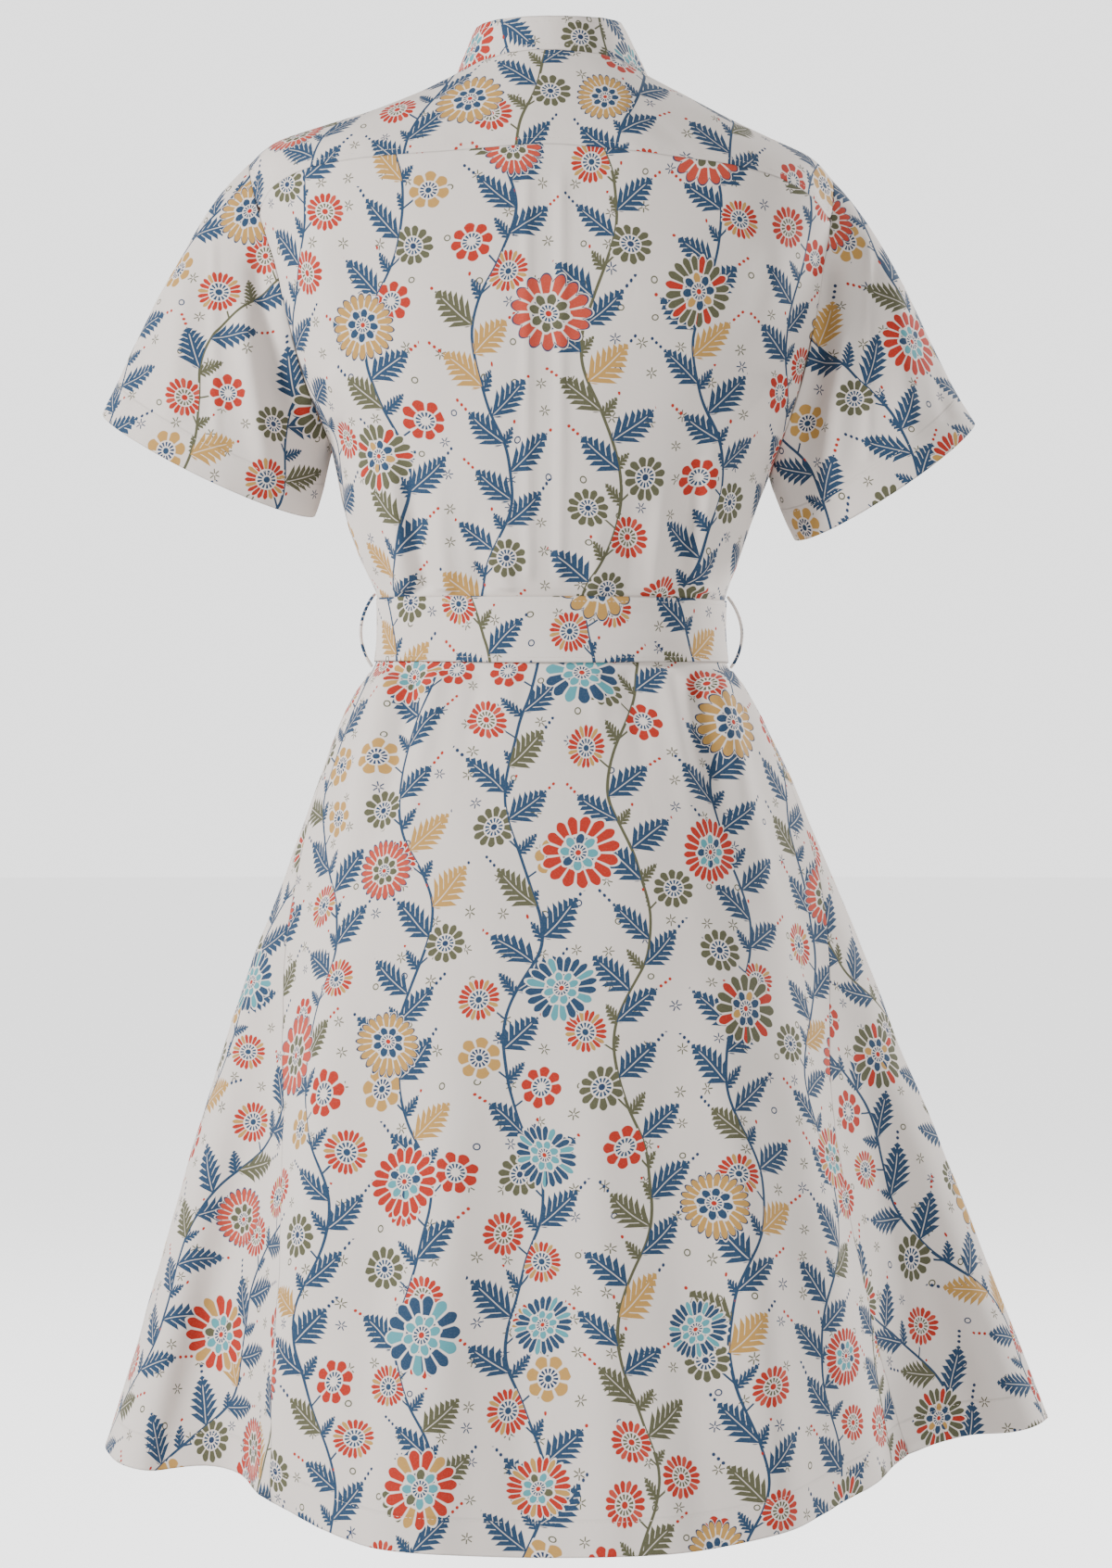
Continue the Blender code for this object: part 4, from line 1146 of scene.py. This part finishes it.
@dataclass(frozen=True)
class Sewing:
    """Rows of machine stitches along a sheet's edges."""

    thread: bpy.types.Material
    pitch: float = 0.0030
    length: float = 0.0022
    width: float = 0.00055
    height: float = 0.00030

    def chosen(self, runs: list[list[Vector]], edge: Edge) -> list[list[Vector]]:
        """The runs that a row of stitches follows.

        Args:
            runs: All the open edges of a sheet.
            edge: Which of them to follow.

        Returns:
            Those runs.
        """
        lengths = [sum((b - a).length for a, b in zip(run, run[1:])) for run in runs]
        if edge is Edge.LOW:
            return [lowest(runs)]
        if edge is Edge.LONG:
            return [run for run, length in zip(runs, lengths) if length > max(lengths) / 2]
        return runs

    def inset_line(self, run: list[Vector], tree: BVHTree, inset: float) -> list[tuple[Vector, Vector]]:
        """Move an edge in across the cloth.

        Args:
            run: The points of the edge.
            tree: The sheet's faces, facing out.
            inset: How far to move it.

        Returns:
            The points of the moved line, each with the direction out of the cloth there.
        """
        line = []
        for index, point in enumerate(run):
            ahead = run[min(index + 1, len(run) - 1)] - run[max(index - 1, 0)]
            _, normal, _, _ = tree.find_nearest(point)
            aside = normal.cross(ahead).normalized()
            spots = [tree.find_nearest(point + aside * way * inset) for way in (1, -1)]
            place, facing, _, _ = min(spots, key=lambda spot: abs((spot[0] - point).length - inset))
            if (place - point).length > inset * 0.6:
                line.append((place, facing))
        return line

    def build(self, name: str, sheet: bpy.types.Object, rows: Sequence[StitchRow]) -> bpy.types.Object:
        """Make all the stitches of one sheet as a single joined mesh.

        Args:
            name: The new piece's name.
            sheet: The creased sheet, before it has its thickness.
            rows: The rows of stitches.

        Returns:
            The stitches, fastened to the dress.
        """
        tree = BVHTree.FromPolygons([v.co for v in sheet.data.vertices],
                                    [tuple(p.vertices) for p in sheet.data.polygons])
        runs = edge_runs(sheet.data)
        points: list[Vector] = []
        faces: list[tuple[int, ...]] = []
        for row in rows:
            for run in self.chosen(runs, row.edge):
                self.sew(self.inset_line(run, tree, row.inset), points, faces)
        mesh = bpy.data.meshes.new(name)
        mesh.from_pydata(points, [], faces)
        mesh.materials.append(self.thread)
        return rides(add_object(name, mesh))

    def sew(self, line: list[tuple[Vector, Vector]], points: list[Vector],
            faces: list[tuple[int, ...]]) -> None:
        """Add evenly spaced stitches along a line to a list of points and faces.

        Args:
            line: The points of the line, each with the direction out of the cloth.
            points: The points so far, which grow.
            faces: The faces so far, which grow.
        """
        left = self.pitch / 2
        for (start, normal), (end, _) in zip(line, line[1:]):
            run = end - start
            if run.length > 4 * self.pitch or run.length == 0.0:
                continue
            ahead = run.normalized()
            while left < run.length:
                self.stitch(start + ahead * left, ahead, normal, points, faces)
                left += self.pitch
            left -= run.length

    def stitch(self, middle: Vector, ahead: Vector, normal: Vector, points: list[Vector],
               faces: list[tuple[int, ...]]) -> None:
        """Add one stitch: a low ridge with pointed ends.

        Args:
            middle: The middle of the stitch.
            ahead: The way that it runs.
            normal: The way out of the cloth.
            points: The points so far, which grow.
            faces: The faces so far, which grow.
        """
        aside = normal.cross(ahead).normalized() * (self.width / 2)
        first = len(points)
        points += [middle - ahead * (self.length / 2), middle + aside,
                   middle + ahead * (self.length / 2), middle - aside, middle + normal * self.height]
        faces += [(first + 1, first, first + 4), (first + 2, first + 1, first + 4),
                  (first + 3, first + 2, first + 4), (first, first + 3, first + 4),
                  (first, first + 1, first + 2, first + 3)]


@dataclass
class ClothPanel:
    """One cut piece of the dress, as a thin creased sheet over the form of its solid."""

    node: str
    zones: tuple[Zone, ...]
    shift: tuple[float, float]       # where on the print the piece was cut, in metres
    rounds: int = 2                  # rounds of subdivision
    tube: bool = False               # whether it closes on itself, as a sleeve does
    solid_wall: float = 0.0013       # the solid's thickness
    cloth: float = 0.0006
    slack: float = 0.0011            # how far the cloth wavers where nothing pulls it
    pucker: float = 0.0006           # how far it puckers along its seams
    seam_overlap: float = 0.00025    # how far each edge reaches into its seam
    wave_across: float = 22.0        # waves of the slack to a metre, across the cloth
    wave_up: float = 6.0             # and up it
    small_wave: float = 27.0         # waves of a smaller kind, every way
    small_share: float = 0.6         # how high they are beside the others
    pucker_wave: float = 95.0        # puckers to a metre
    pucker_reach: float = 0.009      # how far from a seam they die away
    hem: bool = False
    rows: tuple[StitchRow, ...] = ()

    def build(self, wardrobe: Wardrobe) -> None:
        """Args:
            wardrobe: The materials.
        """
        sheet = self.outer_sheet()
        self.lay_flat(sheet)
        apply_modifier(sheet, "SUBSURF", levels=self.rounds, render_levels=self.rounds,
                       boundary_smooth="PRESERVE_CORNERS")
        width, length, area = self.scale_print(sheet.data)
        self.crease(sheet.data)
        self.mark_edges(sheet.data)
        sewn = [Sewing(wardrobe.thread).build(f"stitches_{self.node}", sheet, self.rows)] if self.rows else []
        sheet.data.materials.append(wardrobe.face)
        sheet.data.materials.append(wardrobe.reverse)
        apply_modifier(sheet, "SOLIDIFY", thickness=self.cloth, offset=-1.0, material_offset=1,
                       material_offset_rim=0)
        sheet.data.shade_smooth()
        sheet.data.set_sharp_from_angle(angle=math.radians(60))
        rides(sheet, [self.node])
        LOG.info("%s: cut from %.0f by %.0f mm, %.3f square metres, %d faces", self.node,
                 width / MILLIMETRE, length / MILLIMETRE, area, len(sheet.data.polygons))

    def outer_sheet(self) -> bpy.types.Object:
        """Part the outer sheet of the wall from a copy of the solid.

        Returns:
            The sheet, in four-sided faces where its triangles pair up.
        """
        sheet = copied_solid(self.node)
        with editing(sheet):
            bpy.ops.mesh.remove_doubles(threshold=MERGE_DISTANCE)
        bm = bmesh.new()
        bm.from_mesh(sheet.data)
        rim = [face for face in bm.faces
               if min(edge.calc_length() for edge in face.edges) < self.solid_wall * 1.2]
        bmesh.ops.delete(bm, geom=rim, context="FACES")
        inner = [face for island in self.islands(bm) if not self.faces_out(island) for face in island]
        bmesh.ops.delete(bm, geom=inner, context="FACES")
        bm.to_mesh(sheet.data)
        bm.free()
        with editing(sheet):
            bpy.ops.mesh.tris_convert_to_quads(face_threshold=math.radians(60),
                                               shape_threshold=math.radians(70))
        return sheet

    @staticmethod
    def islands(bm: bmesh.types.BMesh) -> list[list[bmesh.types.BMFace]]:
        """The faces of a mesh in groups that hang together.

        Args:
            bm: The mesh.

        Returns:
            The groups.
        """
        left = set(bm.faces)
        groups = []
        while left:
            group = [left.pop()]
            for face in group:
                for edge in face.edges:
                    for other in edge.link_faces:
                        if other in left:
                            left.remove(other)
                            group.append(other)
            groups.append(group)
        return groups

    def faces_out(self, island: list[bmesh.types.BMFace]) -> bool:
        """Whether a group of faces looks away from the middle of its piece or of the dress.

        Args:
            island: The faces.

        Returns:
            True for the outer sheet of a wall.
        """
        places = [face.calc_center_median() for face in island]
        middle = sum(places, Vector()) / len(places)
        total = 0.0
        for face, place in zip(island, places):
            hub = middle if self.tube else Vector((0.0, 0.0, place.z))
            total += face.calc_area() * face.normal.dot(place - hub)
        return total > 0.0

    def lay_flat(self, sheet: bpy.types.Object) -> None:
        """Unwrap the sheet, after opening a tube along its lower line.

        Args:
            sheet: The sheet.
        """
        mesh = sheet.data
        if self.tube:
            rings = [[mesh.vertices[i].co for i in ring] for ring in edge_loops(mesh)]
            top, low = (sum(ring, Vector()) / len(ring)
                        for ring in sorted(rings, key=lambda ring: -max(point.z for point in ring)))
            axis = low - top
            under = Vector((-axis.z, 0.0, axis.x)) * math.copysign(1.0, -axis.x)
            for edge in mesh.edges:
                ends = [mesh.vertices[index].co for index in edge.vertices]
                edge.use_seam = all(abs(end.y) < 0.001 and (end - top).dot(under) > 0.0 for end in ends)
        new_print_map(mesh)
        with editing(sheet):
            bpy.ops.uv.unwrap(method="ANGLE_BASED", margin=0.0)

    def scale_print(self, mesh: bpy.types.Mesh) -> tuple[float, float, float]:
        """Scale the flat cut to its real size, and turn it so that the print runs up the piece.

        Args:
            mesh: The sheet, all in four-sided faces, with its cut in the print map.

        Returns:
            The width, length and area of the flat cut.
        """
        corners = np.zeros(len(mesh.loops), int)
        mesh.loops.foreach_get("vertex_index", corners)
        flat = np.zeros(len(mesh.loops) * 2, np.float32)
        mesh.uv_layers[PRINT_MAP].uv.foreach_get("vector", flat)
        flat = flat.reshape(-1, 2).astype(float)
        points = vertex_array(mesh)
        quads = flat.reshape(-1, 4, 2)
        diagonals = quads[:, 2] - quads[:, 0], quads[:, 3] - quads[:, 1]
        flat_area = np.abs(np.cross(*diagonals)).sum() / 2
        area = sum(polygon.area for polygon in mesh.polygons)
        flat *= math.sqrt(area / flat_area)
        height = points @ self.upward(points)
        fit, *_ = np.linalg.lstsq(np.c_[flat, np.ones(len(flat))], height[corners], rcond=None)
        up = fit[:2] / np.linalg.norm(fit[:2])
        flat = np.c_[flat @ np.array((up[1], -up[0])), flat @ up]
        flat -= flat.min(axis=0)
        width, length = flat.max(axis=0)
        mesh.uv_layers[PRINT_MAP].uv.foreach_set("vector", (flat + self.shift).astype(np.float32).ravel())
        return float(width), float(length), float(min(area, width * length))

    def upward(self, points: np.ndarray) -> np.ndarray:
        """The direction in which the print runs up the piece: along a sleeve, or else straight up.

        Args:
            points: The sheet's points as rows.

        Returns:
            The direction, with a length of 1.
        """
        if not self.tube:
            return np.array((0.0, 0.0, 1.0))
        high = points[points[:, 2] > np.quantile(points[:, 2], 0.8)].mean(axis=0)
        low = points[points[:, 2] < np.quantile(points[:, 2], 0.2)].mean(axis=0)
        return (high - low) / np.linalg.norm(high - low)

    def crease(self, mesh: bpy.types.Mesh) -> None:
        """Push the sheet's points in and out along their normals.

        Args:
            mesh: The sheet.
        """
        points, normals = vertex_array(mesh), vertex_array(mesh, "normal")
        push = crease_push(points, self.zones)
        seams = [mesh.vertices[index].co for ring in edge_loops(mesh) for index in ring]
        from_seam = distances(mesh, seams)
        for index, vertex in enumerate(mesh.vertices):
            x, y, z = vertex.co
            long_wave = noise.noise(Vector((x * self.wave_across, y * self.wave_across, z * self.wave_up)))
            waver = long_wave + self.small_share * noise.noise(vertex.co * self.small_wave)
            near_seam = math.exp(-from_seam[index] / self.pucker_reach)
            ripple = noise.noise(vertex.co * self.pucker_wave) * near_seam
            push[index] += self.slack * waver + self.pucker * ripple
        low, high = BELT_EDGES
        if Zone.BELT not in self.zones:
            covered = (points[:, 2] > low) & (points[:, 2] < high)
            push[covered] = np.minimum(push[covered], 0.0)
        points += normals * push[:, None]
        points += self.seam_take_up(mesh, points)
        mesh.vertices.foreach_set("co", points.astype(np.float32).ravel())
        mesh.update()

    def seam_take_up(self, mesh: bpy.types.Mesh, points: np.ndarray) -> np.ndarray:
        """How each point moves so that the edges of neighbouring pieces meet in their seams.

        Args:
            mesh: The sheet.
            points: Its points as rows, after creasing.

        Returns:
            One move for each point.
        """
        move = np.zeros_like(points)
        rim = {index for ring in edge_loops(mesh) for index in ring}
        for polygon in mesh.polygons:
            middle = points[list(polygon.vertices)].mean(axis=0)
            for index in rim.intersection(polygon.vertices):
                move[index] += points[index] - middle
        length = np.linalg.norm(move, axis=1, keepdims=True)
        return move / np.maximum(length, 1e-9) * self.seam_overlap

    def mark_edges(self, mesh: bpy.types.Mesh) -> None:
        """Store each point's distance from the hemmed edge, if there is one, and from any edge.

        Args:
            mesh: The sheet.
        """
        seams = [mesh.vertices[index].co for ring in edge_loops(mesh) for index in ring]
        from_hem = np.ones(len(mesh.vertices))
        if self.hem:
            from_hem = distances(mesh, lowest(edge_runs(mesh)))
        store(mesh, HEM_DEPTH, from_hem)
        store(mesh, EDGE_DEPTH, distances(mesh, seams))


@dataclass
class BeltLoop:
    """A thin turned strip of the print cloth that holds the belt at one side."""

    node: str

    def build(self, wardrobe: Wardrobe) -> None:
        """Smooth a copy of the loop's solid and dress it.

        Args:
            wardrobe: The materials.
        """
        loop = copied_solid(self.node)
        loop.data.materials.append(wardrobe.face)
        with editing(loop):
            bpy.ops.mesh.remove_doubles(threshold=MERGE_DISTANCE)
            bpy.ops.mesh.tris_convert_to_quads()
        apply_modifier(loop, "SUBSURF", levels=2, render_levels=2)
        mesh = loop.data
        layer = new_print_map(mesh)
        for corner in mesh.loops:
            place = mesh.vertices[corner.vertex_index].co
            layer.uv[corner.index].vector = (place.y * 3.0 + place.x, place.z)
        for name in (HEM_DEPTH, EDGE_DEPTH):
            store(mesh, name, np.ones(len(mesh.vertices)))
        mesh.shade_smooth()
        rides(loop, [self.node])
        LOG.info("%s: %d faces", self.node, len(mesh.polygons))


# --------------------------------------------------------------------------- buttons


@dataclass
class ShirtButton:
    """A four-hole shell button sewn through the button band, facing the way of its solid."""

    radius: float = 0.0058
    thickness: float = 0.0024
    rim: float = 0.0011
    dish: float = 0.0005
    hole: float = 0.00075
    hole_spacing: float = 0.0022
    sides: int = 48
    edge_round: float = 0.00035
    thread_radius: float = 0.00042
    thread_round: float = 0.00030
    thread_rise: float = 0.00015     # the middle of the thread above the dish

    def shape(self) -> bpy.types.Object:
        """Turn one button at the origin, facing +Z.

        Returns:
            The button, not yet dressed.
        """
        bpy.ops.object.select_all(action="DESELECT")
        bpy.ops.mesh.primitive_cylinder_add(vertices=self.sides, radius=self.radius, depth=self.thickness)
        button = bpy.context.active_object
        button.name = "shirt_button"
        bpy.ops.object.mode_set(mode="EDIT")
        bm = bmesh.from_edit_mesh(button.data)
        for face in bm.faces:
            face.select = face.normal.z > 0.9
        bm.select_flush_mode()
        bmesh.update_edit_mesh(button.data)
        bpy.ops.mesh.inset(thickness=self.rim)
        bpy.ops.mesh.inset(thickness=self.rim * 0.6)
        bpy.ops.transform.translate(value=(0.0, 0.0, -self.dish))
        bpy.ops.object.mode_set(mode="OBJECT")
        apply_modifier(button, "BEVEL", width=self.edge_round, segments=3, limit_method="ANGLE",
                       angle_limit=math.radians(40))
        half = self.hole_spacing / 2
        for x, y in ((half, half), (half, -half), (-half, half), (-half, -half)):
            bpy.ops.object.select_all(action="DESELECT")
            bpy.ops.mesh.primitive_cylinder_add(vertices=20, radius=self.hole,
                                                depth=self.thickness * 3, location=(x, y, 0.0))
            cutter = bpy.context.active_object
            apply_modifier(button, "BOOLEAN", operation="DIFFERENCE", solver="EXACT", object=cutter)
            bpy.data.objects.remove(cutter, do_unlink=True)
        return button

    def threads(self) -> bpy.types.Object:
        """Sew two bars of thread through the holes of a button at the origin.

        Returns:
            The bars, as one mesh.
        """
        half = self.hole_spacing / 2
        bars = []
        for y in (half, -half):
            bpy.ops.object.select_all(action="DESELECT")
            height = self.thickness / 2 - self.dish + self.thread_rise
            bpy.ops.mesh.primitive_cylinder_add(vertices=12, radius=self.thread_radius,
                                                depth=self.hole_spacing * 1.1, location=(0.0, y, height),
                                                rotation=(0.0, math.radians(90), 0.0))
            bar = bpy.context.active_object
            bpy.ops.object.transform_apply(location=True, rotation=True, scale=True)
            apply_modifier(bar, "BEVEL", width=self.thread_round, segments=2)
            bars.append(bar)
        select_only(bars[0])
        bars[1].select_set(True)
        bpy.ops.object.join()
        return bars[0]

    def build(self, nodes: Sequence[str], wardrobe: Wardrobe) -> None:
        """Put a copy of the button in the place of each solid.

        Args:
            nodes: The solids of the buttons.
            wardrobe: The materials.
        """
        button, bars = self.shape(), self.threads()
        button.data.materials.append(wardrobe.shell)
        bars.data.materials.append(wardrobe.thread)
        for node in nodes:
            place = self.placing(node)
            for pattern, name, slot in ((button, f"shell_{node}", SHELL_SLOT),
                                        (bars, f"thread_{node}", COTTON_SLOT)):
                mesh = pattern.data.copy()
                mesh.transform(place)
                mesh.shade_smooth()
                mesh.set_sharp_from_angle(angle=math.radians(40))
                rides(add_object(name, mesh), [node] if pattern is button else ())
        bpy.data.objects.remove(button, do_unlink=True)
        bpy.data.objects.remove(bars, do_unlink=True)
        LOG.info("%d buttons", len(nodes))

    @staticmethod
    def placing(node: str) -> Matrix:
        """The place and turn of a button's solid, with its face along +Z before the turn.

        Args:
            node: The solid's node.

        Returns:
            The transform that takes a button from the origin to its place.
        """
        low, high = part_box(node)
        points = vertex_array(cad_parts[node].data)
        _, _, axes = np.linalg.svd(points - points.mean(axis=0), full_matrices=False)
        facing = Vector(axes[2])
        if facing.y < 0.0:
            facing.negate()
        return Matrix.Translation((low + high) / 2) @ facing.to_track_quat("Z", "Y").to_matrix().to_4x4()


# --------------------------------------------------------------------------- studio


@dataclass
class Studio:
    """The camera at the photograph's angle, soft lights, and a wide pale floor."""

    camera_distance: float = 2.70
    camera_x: float = 0.0033
    camera_z: float = -0.5023
    frame_height: float = 1.1167     # what the picture shows at the middle of the dress
    sensor: float = 24.0             # millimetres, the height of the film
    floor_z: float = -1.30
    floor_radius: float = 30.0
    sky_light: float = 0.34          # the strength of the sky as it lights the dress
    sky_seen: float = 2.2            # and as the camera sees it
    floor_glow: float = 1.7

    def build(self) -> None:
        """Make the camera, the lights, the sky and the floor."""
        self.camera()
        self.light("key", (-3.0, -1.7, 1.0), 0.9, 215.0)
        self.light("fill", (2.6, -2.6, 0.2), 1.6, 50.0)
        self.light("front_key", (3.0, 1.7, 1.0), 0.9, 170.0)
        self.light("front_fill", (-2.6, 2.6, 0.2), 1.6, 45.0)
        self.sky()
        self.floor()
        LOG.info("studio")

    def camera(self) -> None:
        """Look straight at the back of the dress."""
        data = bpy.data.cameras.new("camera")
        data.sensor_fit = "VERTICAL"
        data.sensor_height = self.sensor
        data.lens = self.sensor * self.camera_distance / self.frame_height
        view = add_object("camera", data)
        view.location = (self.camera_x, -self.camera_distance, self.camera_z)
        view.rotation_euler = (math.radians(90), 0.0, 0.0)
        bpy.context.scene.camera = view

    def light(self, name: str, place: tuple[float, float, float], size: float, power: float) -> None:
        """Add a square light that looks at the middle of the dress.

        Args:
            name: The light's name.
            place: Where it stands.
            size: The length of its side.
            power: Its power in watts.
        """
        data = bpy.data.lights.new(name, "AREA")
        data.size = size
        data.energy = power
        lamp = add_object(name, data)
        lamp.location = place
        aim = Vector((0.0, 0.0, self.camera_z)) - Vector(place)
        lamp.rotation_euler = aim.to_track_quat("-Z", "Y").to_euler()

    def sky(self) -> None:
        """Surround the dress with white that lights it gently."""
        world = bpy.data.worlds.new("studio")
        world.use_nodes = True
        graph = Graph(world.node_tree)
        seen = graph.wire("LightPath", "Is Camera Ray")
        background = world.node_tree.nodes["Background"]
        background.inputs[0].default_value = (1.0, 1.0, 1.0, 1.0)
        strength = seen * (self.sky_seen - self.sky_light) + self.sky_light
        world.node_tree.links.new(strength.socket, background.inputs[1])
        bpy.context.scene.world = world

    def floor(self) -> None:
        """Lay a wide round floor of white paper that looks as pale as the sky."""
        bpy.ops.object.select_all(action="DESELECT")
        bpy.ops.mesh.primitive_circle_add(vertices=96, radius=self.floor_radius, fill_type="NGON",
                                          location=(0.0, 0.0, self.floor_z))
        floor = bpy.context.active_object
        floor.name = "floor"
        bpy.ops.object.transform_apply(location=True, rotation=True, scale=True)
        paper = PlainFinish("paper", (0.82, 0.82, 0.82), (0.80, 0.80, 0.80), 0.9, 3.0, 0.0).build()
        graph = Graph(paper.node_tree)
        surface = paper.node_tree.nodes["Principled BSDF"]
        surface.inputs["Emission Strength"].default_value = self.floor_glow
        glow = graph.mix(graph.wire("LightPath", "Is Camera Ray"), (0.0, 0.0, 0.0), (1.0, 1.0, 1.0))
        paper.node_tree.links.new(glow.socket, surface.inputs["Emission Color"])
        floor.data.materials.append(paper)


# --------------------------------------------------------------------------- the whole dress


PANELS = (
    ClothPanel("bodice_back", (Zone.BODICE,), (0.030, 0.110), rounds=3),
    ClothPanel("bodice_front_left", (Zone.BODICE,), (0.410, 0.060), rounds=3),
    ClothPanel("bodice_front_right", (Zone.BODICE,), (0.905, 0.330), rounds=3),
    ClothPanel("yoke", (Zone.YOKE,), (0.275, 0.515), rounds=3, rows=(StitchRow(Edge.ALL, 0.0050),)),
    ClothPanel("collar", (Zone.PLAIN,), (1.310, 0.200), rounds=3, slack=0.0005,
               rows=(StitchRow(Edge.ALL, 0.0045),)),
    ClothPanel("sleeve_left", (Zone.SLEEVE,), (1.550, 0.045), rounds=3, tube=True, hem=True,
               rows=(StitchRow(Edge.LOW, 0.0220),)),
    ClothPanel("sleeve_right", (Zone.SLEEVE,), (2.105, 0.380), rounds=3, tube=True, hem=True,
               rows=(StitchRow(Edge.LOW, 0.0220),)),
    ClothPanel("skirt_back", (Zone.SKIRT,), (0.015, 1.120), rounds=2, slack=0.0016, hem=True,
               rows=(StitchRow(Edge.LOW, 0.0225),)),
    ClothPanel("skirt_front_left", (Zone.SKIRT,), (0.870, 1.250), rounds=2, slack=0.0016, hem=True,
               rows=(StitchRow(Edge.LOW, 0.0225),)),
    ClothPanel("skirt_front_right", (Zone.SKIRT,), (1.660, 1.060), rounds=2, slack=0.0016, hem=True,
               rows=(StitchRow(Edge.LOW, 0.0225),)),
    ClothPanel("button_band", (Zone.BODICE, Zone.SKIRT), (2.450, 0.700), rounds=3, slack=0.0002,
               pucker=0.0001, rows=(StitchRow(Edge.LONG, 0.0030),)),
    ClothPanel("belt", (Zone.BELT,), (0.200, 2.300), rounds=3, solid_wall=0.0018, cloth=0.0016,
               slack=0.0003, pucker=0.0002, rows=(StitchRow(Edge.ALL, 0.0035),)),
)
BUTTON_COUNT = 9


def main() -> None:
    """Build the dress and the studio round it."""
    logging.basicConfig(level=logging.INFO, format="%(name)s: %(message)s")
    wardrobe = Wardrobe.stocked()
    for panel in PANELS:
        panel.build(wardrobe)
    for node in ("belt_loop_left", "belt_loop_right"):
        BeltLoop(node).build(wardrobe)
    ShirtButton().build([f"button_{number}" for number in range(1, BUTTON_COUNT + 1)], wardrobe)
    Studio().build()


if __name__ == "__main__":
    main()
